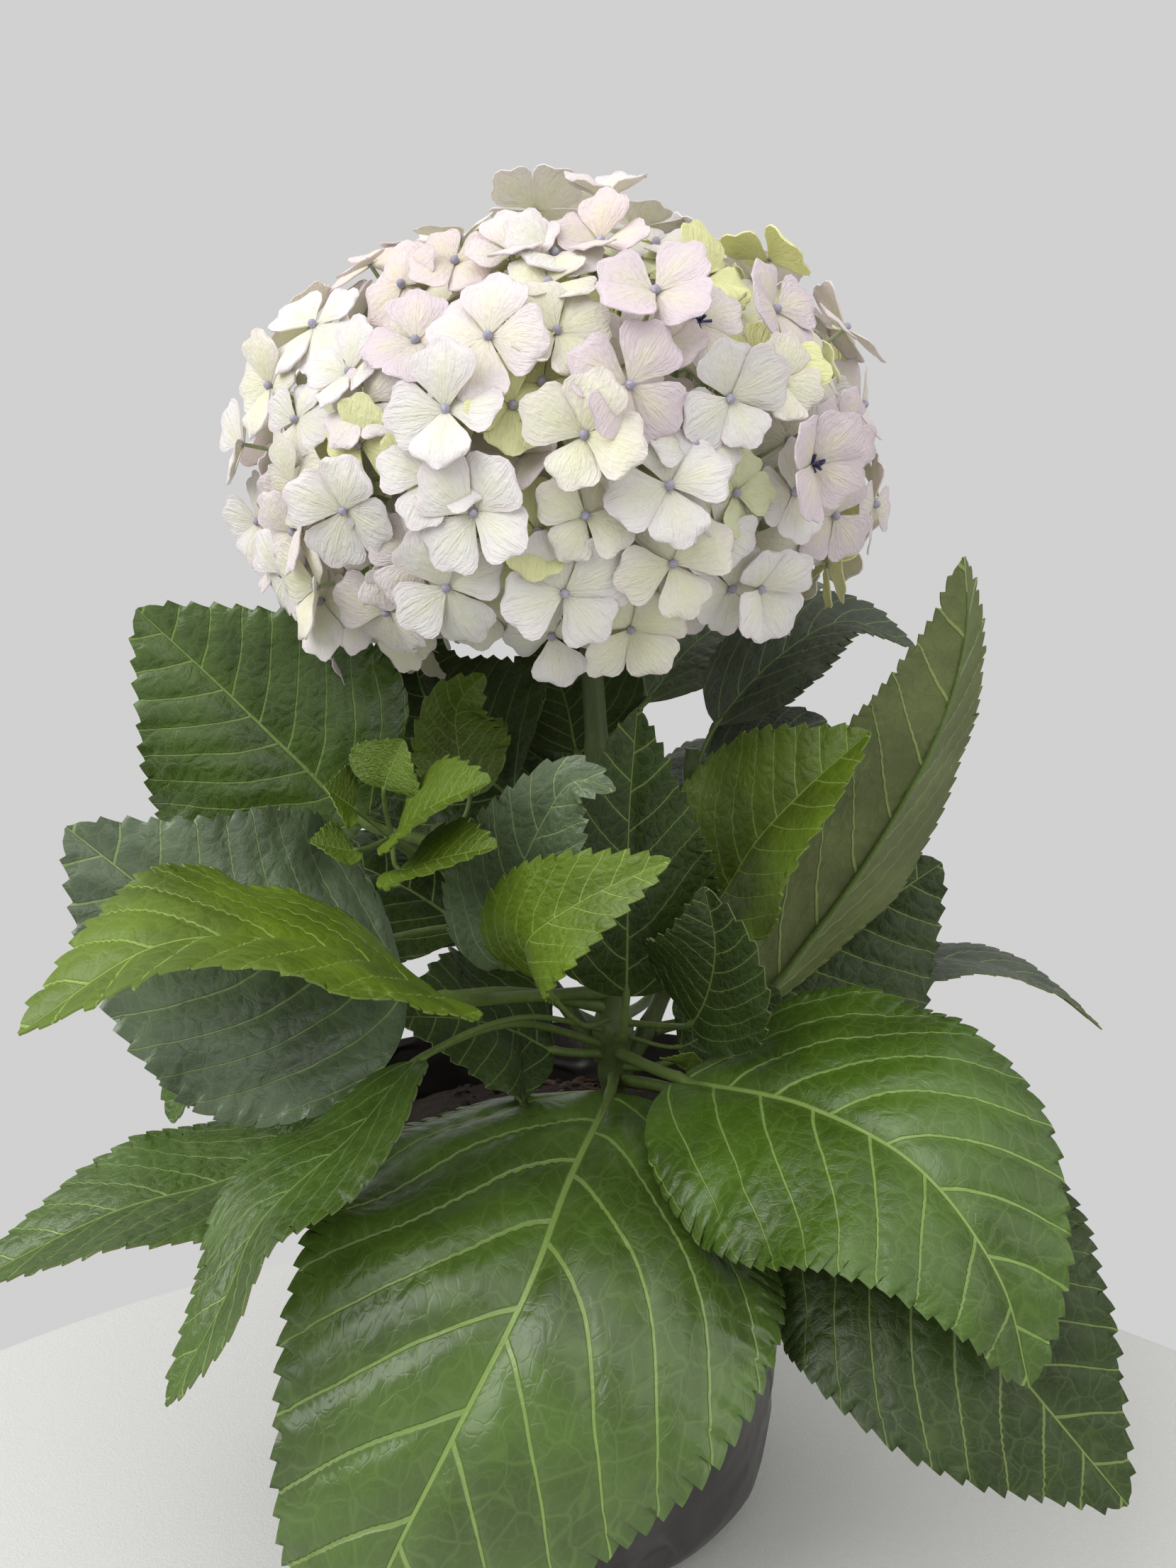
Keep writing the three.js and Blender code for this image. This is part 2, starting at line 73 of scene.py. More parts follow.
LEAVES = [
    leaf("front", "main", 141, 1, 134, 0.04, 0.16, "mid",
         [(22, -6, 143), (8, -70, 141), (-3, -108, 128), (-22, -126, 97), (-39, -130, 62),
          (-50, -125, 24)], (0, -0.5, 1), (0, -1, 0.1)),
    leaf("right_front", "main", 150, 1, 104, 0.1, 0.12, "fresh",
         [(44, -26, 156), (80, -66, 163), (106, -92, 156), (123, -110, 134), (130, -116, 107)],
         (0, -0.6, 1), (0.4, -1, 0.3)),
    leaf("right_low", "main", 139, 2, 94, 0.1, 0.1, "deep",
         [(46, -12, 145), (78, -48, 141), (104, -76, 131), (126, -100, 109), (161, -110, 68)],
         (0.1, -1, 0.45), (0.2, -1, 0.5)),
    leaf("right_dark", "right", 156, 1, 104, 0.1, 0.1, "deep",
         [(60, 26, 160), (86, 34, 174), (118, 40, 193), (150, 44, 214)], (-0.1, -1, 0.6), (0, -1, 0.5)),
    leaf("far_right", "right", 172, 2, 44, 0.15, 0.1, "grey",
         [(70, 44, 158), (112, 58, 165), (165, 60, 171), (198, 56, 161), (220, 54, 144)],
         (0, -0.1, 1), (0, 0, 1)),
    leaf("curled", "right", 172, 1, 69, 0.4, 0, "mid",
         [(68, 8, 168), (94, 2, 200), (115, -8, 238), (127, -25, 275), (129, -38, 305), (125, -46, 325)],
         (-0.5, 0.9, 0.1), (-0.4, 1, 0)),
    leaf("folded", "right", 194, 1, 68, 0.3, 0, "bright",
         [(58, 6, 206), (71, -12, 234), (87, -26, 256), (102, -34, 272)],
         (-0.3, -0.7, 0.7), (-0.4, -0.7, 0.7)),
    leaf("right_high", "right", 252, 1, 40, 0.2, 0, "grey",
         [(62, 38, 268), (87, 44, 294), (111, 48, 306), (138, 48, 296)], (0.1, -0.7, 1), (0.2, -0.6, 1)),
    leaf("high_right", "main", 262, 1, 46, 0.2, 0, "blue",
         [(36, 46, 276), (58, 76, 298), (86, 92, 314), (113, 100, 321)], (0, -0.8, 1)),
    leaf("right_mid", "right", 236, 1, 46, 0.2, 0, "grey",
         [(64, 36, 246), (80, 40, 258), (98, 43, 262), (112, 44, 256)], (-0.1, -0.5, 1)),
    leaf("blue_green", "main", 194, 1, 42, 0.2, 0.05, "blue",
         [(-14, -26, 194), (-10, -42, 220), (0, -54, 246), (10, -60, 260), (22, -63, 258)],
         (-0.2, -1, 0.3), (0.1, -1, 0.4)),
    leaf("centre", "main", 157, 2, 56, 0.16, 0, "deep",
         [(26, -6, 162), (27, -14, 180), (27, -26, 212), (27, -35, 246), (29, -43, 280)],
         (0, -1, 0), (0, -1, 0.2)),
    leaf("young_bright", "main", 163.5, 2, 36, 0.25, 0, "bright",
         [(12, -20, 172), (0, -46, 195), (-4, -66, 213), (12, -80, 229), (36, -90, 243)], (-0.5, -0.8, 0.25)),
    leaf("young_right", "main", 162, 2, 46, 0.15, 0, "deep",
         [(43, -10, 168), (48, -27, 175), (52, -40, 190), (53, -49, 208), (49, -54, 227)],
         (-0.7, -1, 0.2), (-0.5, -1, 0.2)),
    leaf("centre_right", "main", 156, 1, 34, 0.2, 0, "deep",
         [(46, 2, 156), (58, -2, 164), (70, -6, 172), (80, -8, 180)], (0, -1, 0.6)),
    leaf("centre_left", "main", 149, 1, 68, 0.15, 0.1, "deep",
         [(2, 4, 154), (-12, -1, 163), (-28, -14, 172), (-50, -26, 177)], (0, -0.6, 0.8)),
    leaf("left_round", "left", 230, 1, 90, 0.12, 0.1, "mid",
         [(-62, -4, 238), (-84, -12, 262), (-106, -20, 287), (-127, -28, 310)],
         (-0.1, -1, 0.5), (0, -1, 0.3)),
    leaf("left_dark", "main", 168, 2, 94, 0.1, 0.12, "blue",
         [(-12, -10, 180), (-44, -36, 187), (-74, -54, 202), (-104, -70, 224), (-130, -80, 250)],
         (-0.1, -1, 0.8), (-0.2, -1, 0.7)),
    leaf("left_bright", "main", 174, 2, 84, 0.15, 0.05, "bright",
         [(-10, -24, 183), (-28, -66, 197), (-58, -100, 222), (-88, -127, 230), (-115, -144, 214)],
         (0, -0.35, 1), (-0.1, -0.25, 1)),
    leaf("left_low", "main", 153, 3, 52, 0.15, 0, "mid",
         [(-10, -16, 171), (-36, -46, 172), (-60, -64, 160), (-88, -80, 148), (-116, -94, 145),
          (-154, -108, 130)], (0, -0.2, 1)),
    leaf("left_long", "main", 159, 2, 40, 0.2, 0.1, "mid",
         [(-8, -24, 176), (-36, -68, 178), (-50, -96, 168), (-70, -118, 154), (-76, -129, 140),
          (-90, -134, 115)], (-0.6, -0.7, 0.6), (-0.8, -0.7, 0.2)),
    leaf("left_small", "left", 200, 2, 46, 0.2, 0, "fresh",
         [(-50, -10, 200), (-88, -34, 192), (-108, -44, 174), (-117, -48, 150)],
         (-0.6, -0.6, 0.7), (-0.8, -0.7, 0.2)),
    leaf("back_left", "main", 238, 1, 80, 0.15, 0, "deep",
         [(-14, 20, 244), (-38, 34, 264), (-50, 44, 286), (-50, 52, 304)], (0.1, -1, 0.4)),
    leaf("under_bloom", "main", 254, 1, 58, 0.15, 0, "deep",
         [(10, 32, 258), (6, 50, 274), (0, 64, 290), (-4, 72, 302)], (0, -1, 0.4)),
    leaf("left_young", "left", 226, 1, 34, 0.3, 0, "bright",
         [(-28, 14, 244), (-32, 16, 260), (-32, 14, 276), (-22, 8, 288)], (0.4, -1, 0.3)),
    leaf("rear_left_low", "main", 156, 2, 102, 0.1, 0.1, "deep",
         [(0, 44, 160), (-28, 68, 178), (-54, 88, 192), (-80, 106, 190)], (0.2, -0.4, 1), (0, 0.1, 1)),
    leaf("rear_right_low", "main", 160, 2, 90, 0.1, 0.1, "deep",
         [(38, 44, 160), (58, 70, 176), (82, 96, 186), (104, 112, 180)], (-0.2, -0.4, 1), (0, 0.1, 1)),
    leaf("rear", "main", 190, 1, 84, 0.1, 0.1, "deep",
         [(20, 44, 200), (14, 76, 216), (8, 106, 220), (4, 132, 206)], (0, -0.3, 1), (0, 0.3, 1)),
    leaf("rear_left_high", "left", 220, 1, 76, 0.1, 0.1, "deep",
         [(-52, 34, 230), (-72, 58, 250), (-94, 82, 262), (-112, 102, 256)], (0.2, -0.3, 1), (0, 0.1, 1)),
    leaf("rear_right_high", "right", 222, 1, 78, 0.1, 0.1, "deep",
         [(64, 54, 232), (80, 82, 250), (98, 108, 256), (112, 128, 244)], (-0.2, -0.3, 1), (0, 0.1, 1)),
    leaf("rear_high", "main", 226, 1, 72, 0.1, 0.1, "deep",
         [(8, 40, 238), (2, 72, 262), (-6, 104, 272), (-10, 130, 260)], (0, -0.3, 1), (0, 0.1, 1)),
    leaf("left_back", "left", 188, 1, 82, 0.1, 0.1, "deep",
         [(-30, 34, 190), (-56, 44, 204), (-82, 52, 212), (-104, 58, 204)], (0.1, -0.7, 1), (0, -0.2, 1)),
]

# Tufts of young leaves on a short twig, which bears them all near its tip
TUFTS = [
    dict(node="tuft_left", on="left", at=222, twig=2.4, path=[(-44, -16, 230), (-50, -28, 238)], leaves=[
        dict(path=[(-59, -36, 248), (-67, -42, 256)], width=28, face=(0.3, -0.6, 1)),
        dict(path=[(-46, -40, 240), (-32, -54, 252), (-14, -66, 261)], width=34, face=(-0.5, -0.6, 1)),
        dict(path=[(-44, -46, 231), (-30, -60, 237), (-12, -72, 243)], width=30, face=(-0.2, -0.5, 1)),
        dict(path=[(-50, -34, 254), (-43, -38, 270)], width=26, face=(0, -1, 0.6)),
        dict(path=[(-58, -42, 236), (-70, -50, 240)], width=20, face=(0, -0.6, 1)),
    ]),
    dict(node="tuft_right", on="main", at=144, twig=1.8, path=[(38, 4, 148), (46, 0, 152)], leaves=[
        dict(path=[(48, -8, 152), (50, -14, 160)], width=20, face=(0, -1, 0.5)),
        dict(path=[(54, -3, 148), (62, -9, 146)], width=16, face=(-0.2, -0.8, 1)),
    ]),
]

# The head's dome, and the florets that lead on its front: angle from the top and round the axis,
# turn of the petals and reach of a petal, with the tint
DOME = dict(centre=(6, 0, 352), across=103, up=80, down=72, lean=-7)
LEADING_FLORETS = [
    (71, -98, 80, 17.5, "blush"), (83, -105, 185, 17, "white"), (67, -111, 95, 15, "lilac"),
    (103, -103, 50, 18, "white"), (91, -86, 70, 16.5, "cream"), (83, -79, 150, 17, "lilac"),
    (66, -72, 45, 18, "lilac"), (98, -126, 65, 16, "white"), (89, -140, 100, 14, "cream"),
    (69, -125, 160, 14, "white"), (75, -140, 60, 13.5, "white"), (122, -92, 120, 18, "white"),
    (119, -73, 20, 17, "cream"), (86, -63, 35, 15.5, "white"), (82, -51, 75, 14, "cream"),
    (100, -48, 60, 17, "lilac"), (107, -60, 95, 12, "green"), (66, -46, 130, 15, "lilac"),
    (69, -64, 30, 14, "blush"), (70, -88, 120, 15, "cream"), (57, -88, 60, 14, "cream"),
    (111, -95, 0, 12.5, "yellow"), (79, -91, 40, 13, "yellow"), (91, -112, 20, 12.5, "yellow"),
    (85, -122, 70, 14, "yellow"), (83, -96, 10, 13.5, "yellow"), (111, -125, 80, 14, "blush"),
    (112, -117, 60, 14, "blush"), (113, -141, 75, 17, "cream"), (128, -50, 30, 17, "white"),
    (47, -86, 60, 14, "white"), (76, -36, 100, 13, "cream"), (41, -58, 20, 13, "white"),
    (77, -121, 45, 14, "blush"), (44, -95, 100, 14, "blush"), (43, -109, 30, 14, "pink"),
    (45, -75, 75, 14.5, "pink"), (103, -74, 15, 16, "white"), (95, -69, 80, 14, "white"),
    (112, -33, 50, 15, "lilac"), (95, -109, 75, 15, "white"), (135, -79, 40, 17, "cream"),
    (93, -165, 75, 15, "white"), (103, -166, 20, 14, "blush"), (107, -48, 10, 14, "white"),
    (100, -144, 40, 14, "blush"), (108, -87, 60, 14, "cream"), (47, -121, 20, 14, "pink"),
    (118, -112, 30, 17, "white"), (122, -128, 70, 16.5, "blush"), (117, -146, 10, 16, "white"),
    (108, -155, 50, 16, "white"), (137, -97, 15, 15, "white"),
    (92, -34, 70, 14, "lilac"), (114, -64, 60, 14, "white"), (129, -56, 90, 15, "white"),
]
TINTS = ["white", "white", "cream", "blush", "lilac", "white", "cream", "pink", "blush", "yellow"]
INNER_TINTS = ["cream", "white", "yellow", "cream", "green", "blush"]
OPENED = [(100, -48), (69, -64)]  # polar and turn of the florets whose beads have opened
FRONT = np.array([0, -1.0, 0.05])

# The grow bag in millimetres: half width of its wall and flat foot, the foot's rounded corner, the rim's
# height and dip, and its pleats' number and depth; its compost's height at the edge and rise in the middle
BAG = dict(radius=79, foot=60, corner=20, rim=138, dip=15, pleats=7, depth=2)
SOIL = dict(edge=112, mound=17)

# The stage in metres: the floor, each lamp's place and size, and the camera
FLOOR = dict(radius=0.365, depth=0.03, edge=0.006, place=(0.014, -0.2, -0.0152))
LAMPS = {"key": ((-1.35, -1.0, 1.45), 1.9), "top": ((-0.1, -0.9, 1.9), 2.0), "fill": ((1.2, -0.9, 0.9), 1.4)}
AIMED_AT = (0, 0, 0.25)
CAMERA = dict(place=(0.014, -0.400, 0.307), tilt=82, lens=27.04, nearest=0.01)


# Settings

def tint(name, value, note):
    """A colour that a user may change."""
    return bpy.props.FloatVectorProperty(name=name, description=note, default=value, size=3, min=0, max=1,
                                         subtype="COLOR")


def span(name, millimetres, note):
    """A length that a user may change."""
    return bpy.props.FloatProperty(name=name, description=note, default=millimetres * MM, min=0,
                                   unit="LENGTH", subtype="DISTANCE")


def count(name, number, fewest, note):
    """A number of pieces that a user may change."""
    return bpy.props.IntProperty(name=name, description=note, default=number, min=fewest)


def power(name, watts, note):
    """A lamp's power that a user may change."""
    return bpy.props.FloatProperty(name=name, description=note, default=watts, min=0, unit="POWER")


class LeafSettings(bpy.types.PropertyGroup):
    """Sizes and colours of the leaves."""
    tooth_pitch: span("Tooth pitch", 4.9, "Distance between the teeth of a leaf's edge")
    thickness: span("Blade thickness", 0.55, "Thickness of a leaf's blade")
    quilting: span("Quilting", 1.5, "How far a blade 100 mm wide bulges between its side veins")
    veins: count("Side veins", 8, 3, "Side veins on each half of a blade")
    # Deep green is partly the darker tone of old leaves and partly painted shade: it darkens the leaves that
    # stand in shade inside and behind the crown
    deep: tint("Deep green", (0.024, 0.044, 0.007), "Old leaf in the lower crown")
    mid: tint("Mid green", (0.054, 0.104, 0.011), "Full-grown leaf")
    fresh: tint("Fresh green", (0.045, 0.094, 0.005), "Leaf that has just grown full")
    bright: tint("Bright green", (0.092, 0.150, 0.004), "Young leaf")
    # Blue green is a bluish bloom, made lighter as painted sheen on the glossy leaves that use this look
    blue: tint("Blue green", (0.096, 0.138, 0.070), "Leaf with a bluish bloom")
    grey: tint("Grey green", (0.060, 0.076, 0.052), "Shaded leaf high behind")
    under: tint("Underside", (0.135, 0.164, 0.052), "Underside of a full-grown leaf")
    under_bright: tint("Young underside", (0.15, 0.22, 0.030), "Underside of a young leaf")
    rib: tint("Ribs", (0.33, 0.44, 0.14), "Midrib and side veins")
    stalk: tint("Stalk", (0.13, 0.19, 0.045), "Leaf stalk and the rib under the blade")


class HeadSettings(bpy.types.PropertyGroup):
    """Sizes and colours of the flower head."""
    florets: count("Florets", 134, 40, "Even places over the dome")
    inner: count("Inner florets", 132, 0, "Florets crowded under the outer ones")
    petal: span("Petal reach", 16, "From a floret's middle to the tip of a petal of middle size")
    thickness: span("Petal thickness", 0.32, "Thickness of a petal")
    white: tint("White", (0.83, 0.795, 0.75), "Petals of an open floret")
    cream: tint("Cream", (0.83, 0.80, 0.63), "Petals of a younger floret")
    blush: tint("Blush", (0.82, 0.73, 0.71), "Petals that turn pink")
    lilac: tint("Lilac", (0.70, 0.59, 0.62), "Petals that turn lilac")
    pink: tint("Pink", (0.81, 0.67, 0.64), "Petals at the top")
    yellow: tint("Yellow green", (0.80, 0.81, 0.40), "Petals of the youngest florets")
    green: tint("Pale green", (0.76, 0.79, 0.50), "Petals of a late floret")
    edge: tint("Petal edge", (0.76, 0.62, 0.70), "Tint that runs in from a petal's edge")
    heart: tint("Petal heart", (0.82, 0.81, 0.38), "Tint at a petal's foot")
    bead: tint("Bead", (0.40, 0.38, 0.50), "Closed bead in the middle of a floret")
    stamen: tint("Stamens", (0.06, 0.05, 0.14), "Stamens of an opened bead")
    pedicel: tint("Floret stalks", (0.50, 0.58, 0.32), "Forked stalks under the florets")


class PotSettings(bpy.types.PropertyGroup):
    """Sizes and colours of the stems, the bag and the compost."""
    film: tint("Bag film", (0.034, 0.031, 0.029), "Film of the grow bag")
    film_thickness: span("Film thickness", 0.7, "Thickness of the bag's film")
    compost: tint("Compost", (0.030, 0.020, 0.014), "Moist compost")
    debris: tint("Debris", (0.13, 0.070, 0.038), "Dry crumbs and scraps on the compost")
    crumbs: count("Crumbs", 300, 0, "Loose crumbs on the compost")
    stem: tint("Stem", (0.10, 0.135, 0.04), "Green stems and shoots")
    lenticel: tint("Stem flecks", (0.12, 0.10, 0.05), "Small dark flecks on the stems")


class StageSettings(bpy.types.PropertyGroup):
    """The floor, the air around and the light."""
    floor: tint("Floor", (0.84, 0.84, 0.81), "Pale floor under the bag")
    wall: tint("Surround", (0.64, 0.635, 0.635), "Pale surround")
    key: power("Key light", 34, "Power of the large soft light")
    top: power("Top light", 12, "Power of the light overhead")
    fill: power("Fill light", 6, "Power of the weaker soft light")


# Smooth lines

def unit(v):
    v = np.asarray(v, float)
    return v / np.linalg.norm(v, axis=-1, keepdims=True)


class Way:
    """A smooth line through points, read by the share of its length."""

    def __init__(self, points):
        p = [np.array(q, float) for q in points]
        p = [2 * p[0] - p[1], *p, 2 * p[-1] - p[-2]]
        parts = []
        for a, b, c, d in zip(p, p[1:], p[2:], p[3:]):
            da, db, dc = (max(np.linalg.norm(y - x), 1e-6) ** 0.5 for x, y in ((a, b), (b, c), (c, d)))
            leave = ((b - a) / da - (c - a) / (da + db) + (c - b) / db) * db
            arrive = ((c - b) / db - (d - b) / (db + dc) + (d - c) / dc) * db
            t = np.linspace(0, 1, 41)[:, None]
            cubic = (b + leave * t + (3 * (c - b) - 2 * leave - arrive) * t ** 2
                     + (2 * (b - c) + leave + arrive) * t ** 3)
            parts.append(cubic if not parts else cubic[1:])
        self.points = np.vstack(parts)
        run = np.linalg.norm(np.diff(self.points, axis=0), axis=1)
        self.run = np.concatenate([[0], np.cumsum(run)])
        self.length = self.run[-1]

    def at(self, share):
        share = np.clip(share, 0, 1) * self.length
        return np.stack([np.interp(share, self.run, self.points[:, k]) for k in range(3)], -1)

    def along(self, share):
        share, step = np.asarray(share, float), 0.004
        return unit(self.at(np.minimum(share + step, 1)) - self.at(np.maximum(share - step, 0)))

    def nearest(self, target):
        shares = np.linspace(0, 1, 401)
        return shares[np.argmin(np.linalg.norm(self.at(shares) - np.array(target, float), axis=1))]


SUNK = 0.4  # how far a stalk's foot reaches into its stem, in millimetres


def stem_half(stem, share):
    """A stem's half thickness at a share of its length."""
    return stem["radius"] + (stem["tip"] - stem["radius"]) * share


def springing(stem, height, target):
    """The spot just off a stem's side where a stalk that heads for the target begins."""
    shares = np.linspace(0, 1, 801)
    share = shares[np.searchsorted(stem["way"].at(shares)[:, 2], height)]
    point, along = stem["way"].at(share), stem["way"].along(share)
    away = np.array(target, float) - point
    away = unit(away - along * (away @ along))
    return point + away * (stem_half(stem, share) - SUNK)


def grow_stems():
    """The stems with their smooth lines, each springing from the one that bears it."""
    grown = {}
    for name, stem in STEMS.items():
        path = list(stem["path"])
        if "on" in stem:
            path.insert(0, springing(grown[stem["on"]], stem["at"], path[0]))
        grown[name] = dict(stem, way=Way(path))
    return grown


# Meshes

SHARP_FROM = math.radians(65)  # an edge that turns further stays sharp


def deselect():
    bpy.ops.object.select_all(action="DESELECT")


def make_active(piece):
    deselect()
    piece.select_set(True)
    bpy.context.view_layer.objects.active = piece


def grid(name, columns, rows):
    """A flat grid to shape: the piece, and every point's place along (0 to 1) and across (-1 to 1)."""
    deselect()
    bpy.ops.mesh.primitive_grid_add(x_subdivisions=columns, y_subdivisions=rows, size=2)
    piece = bpy.context.object
    piece.name = piece.data.name = name
    points = np.empty(len(piece.data.vertices) * 3)
    piece.data.vertices.foreach_get("co", points)
    points = points.reshape(-1, 3)
    return piece, (points[:, 0] + 1) / 2, points[:, 1]


def lay_points(piece, points):
    """Moves a piece's points to these places in millimetres."""
    piece.data.vertices.foreach_set("co", (np.asarray(points) * MM).astype(np.float32).ravel())
    piece.data.update()


def lay_pattern(piece, u, v):
    """Gives every point its place on the pattern."""
    corners = np.empty(len(piece.data.loops), np.int32)
    piece.data.loops.foreach_get("vertex_index", corners)
    layer = piece.data.uv_layers.active or piece.data.uv_layers.new(name="UVMap")
    layer.data.foreach_set("uv", np.stack([u[corners], v[corners]], -1).astype(np.float32).ravel())


def finish_with(piece, kind, **values):
    """Adds a modifier and applies it."""
    make_active(piece)
    modifier = piece.modifiers.new(kind.title(), kind)
    for key, value in values.items():
        setattr(modifier, key, value)
    bpy.ops.object.modifier_apply(modifier=modifier.name)


def lay_round(piece, r, w, z):
    """Moves a piece's points to these distances, angles and heights about the bag's axis."""
    lay_points(piece, np.stack([r * np.cos(w), r * np.sin(w), z], -1))


def close_seams(piece, gap=0.00002):
    """Joins the points that meet and turns the faces outwards."""
    make_active(piece)
    bpy.ops.object.mode_set(mode="EDIT")
    bpy.ops.mesh.select_all(action="SELECT")
    bpy.ops.mesh.remove_doubles(threshold=gap)
    bpy.ops.mesh.normals_make_consistent(inside=False)
    bpy.ops.object.mode_set(mode="OBJECT")


def join(pieces, name):
    """Makes one piece of several."""
    make_active(pieces[0])
    for piece in pieces[1:]:
        piece.select_set(True)
    if len(pieces) > 1:
        bpy.ops.object.join()
    pieces[0].name = pieces[0].data.name = name
    return pieces[0]


def copy_of(piece, matrix):
    """A copy with its own mesh, laid at its place."""
    twin = piece.copy()
    twin.data = piece.data.copy()
    twin.data.transform(matrix)
    bpy.context.scene.collection.objects.link(twin)
    return twin


def frame_of(along, across, out, place):
    """The matrix that lays a piece's X, Y and Z along these directions, at a place in millimetres."""
    columns = [Vector(along), Vector(across), Vector(out)]
    matrix = Matrix.Identity(4)
    for k, column in enumerate(columns):
        for r in range(3):
            matrix[r][k] = column[r]
    matrix.translation = Vector(place) * MM
    return matrix


def branches(name, lines, sides=2):
    """Round stalks along lines of (points, half thicknesses) in millimetres."""
    data = bpy.data.curves.new(name, "CURVE")
    data.dimensions, data.bevel_depth, data.bevel_resolution = "3D", MM, sides
    data.use_fill_caps = True
    for points, radii in lines:
        spline = data.splines.new("POLY")
        spline.points.add(len(points) - 1)
        for knot, place, radius in zip(spline.points, points, radii):
            knot.co, knot.radius = (*(np.array(place) * MM), 1), radius
    piece = bpy.data.objects.new(name, data)
    bpy.context.scene.collection.objects.link(piece)
    make_active(piece)
    bpy.ops.object.convert(target="MESH")
    return bpy.context.object


def paint(piece, *materials):
    piece.data.materials.clear()
    for material in materials:
        piece.data.materials.append(material)


def settle(piece, slot, *nodes):
    """Smooths a finished piece and ties it to the frame."""
    make_active(piece)
    bpy.ops.object.shade_smooth_by_angle(angle=SHARP_FROM)
    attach(piece, "root")
    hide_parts(*nodes)
    return piece


# Materials

VEIN_LEAN, VEIN_BEND = 0.26, 0.20  # how far a side vein runs forward on its way to the edge
VEIN_SHIFT = 0.14  # how far the veins of one half lie ahead of the other's, as a share of their spacing
VEIN_DEPTH = 0.0009  # relief of the veins, in metres


class Tree:
    """Short calls that add nodes to a node tree and join them."""

    def __init__(self, tree):
        self.tree = tree

    def feed(self, socket, value):
        if isinstance(value, bpy.types.NodeSocket):
            self.tree.links.new(value, socket)
        elif socket.type == "RGBA":
            socket.default_value = (*value[:3], 1)
        else:
            socket.default_value = value

    def add(self, kind, inputs=None, **values):
        node = self.tree.nodes.new(kind)
        for key, value in values.items():
            setattr(node, key, value)
        for key, value in (inputs or {}).items():
            self.feed(node.inputs[key], value)
        return node

    def calc(self, operation, *values):
        node = self.add("ShaderNodeMath", operation=operation)
        for socket, value in zip(node.inputs, values):
            self.feed(socket, value)
        return node.outputs[0]

    def plus(self, a, b):
        return self.calc("ADD", a, b)

    def less(self, a, b):
        return self.calc("SUBTRACT", a, b)

    def times(self, a, b):
        return self.calc("MULTIPLY", a, b)

    def scaled(self, value, by, shift):
        return self.calc("MULTIPLY_ADD", value, by, shift)

    def greater(self, a, b):
        return self.calc("MAXIMUM", a, b)

    def step(self, value, low, high):
        """0 below low, 1 above high, smooth between."""
        node = self.add("ShaderNodeMapRange", interpolation_type="SMOOTHSTEP")
        for socket, number in zip(node.inputs, (value, low, high, 0.0, 1.0)):
            self.feed(socket, number)
        return node.outputs[0]

    def mix(self, share, low, high):
        node = self.add("ShaderNodeMix", data_type="RGBA", clamp_factor=True)
        for key, value in ((0, share), (6, low), (7, high)):
            self.feed(node.inputs[key], value)
        return node.outputs[2]

    def noise(self, place, scale, detail=3.0, rough=0.5):
        return self.add("ShaderNodeTexNoise", {"Vector": place, "Scale": scale, "Detail": detail,
                                               "Roughness": rough}).outputs["Fac"]

    def combine(self, x=0.0, y=0.0, z=0.0):
        return self.add("ShaderNodeCombineXYZ", {"X": x, "Y": y, "Z": z}).outputs[0]

    def cells(self, place, scale):
        """How far a place lies from the edge of its cell."""
        return self.add("ShaderNodeTexVoronoi", {"Vector": place, "Scale": scale},
                        feature="DISTANCE_TO_EDGE").outputs["Distance"]

    def split(self, place):
        """How far along and across a pattern's middle line a place lies, and on which side of it."""
        parts = self.add("ShaderNodeSeparateXYZ", {"Vector": place}).outputs
        centred = self.scaled(parts[1], 2.0, -1.0)
        return parts[0], self.calc("ABSOLUTE", centred), self.calc("SIGN", centred)

    def place(self):
        return self.add("ShaderNodeTexCoord").outputs["Object"]

    def pattern(self):
        return self.add("ShaderNodeTexCoord").outputs["UV"]


def node_group(name, inputs, outputs, build):
    """A shader node group, built once: build gets the tree and its inputs and returns its outputs."""
    if name in bpy.data.node_groups:
        return bpy.data.node_groups[name]
    group = bpy.data.node_groups.new(name, "ShaderNodeTree")
    for label, kind in inputs:
        group.interface.new_socket(name=label, in_out="INPUT", socket_type=kind)
    for label in outputs:
        group.interface.new_socket(name=label, in_out="OUTPUT", socket_type="NodeSocketFloat")
    tree = Tree(group)
    entry, leave = tree.add("NodeGroupInput"), tree.add("NodeGroupOutput")
    for socket, value in zip(leave.inputs, build(tree, entry.outputs)):
        tree.feed(socket, value)
    return group


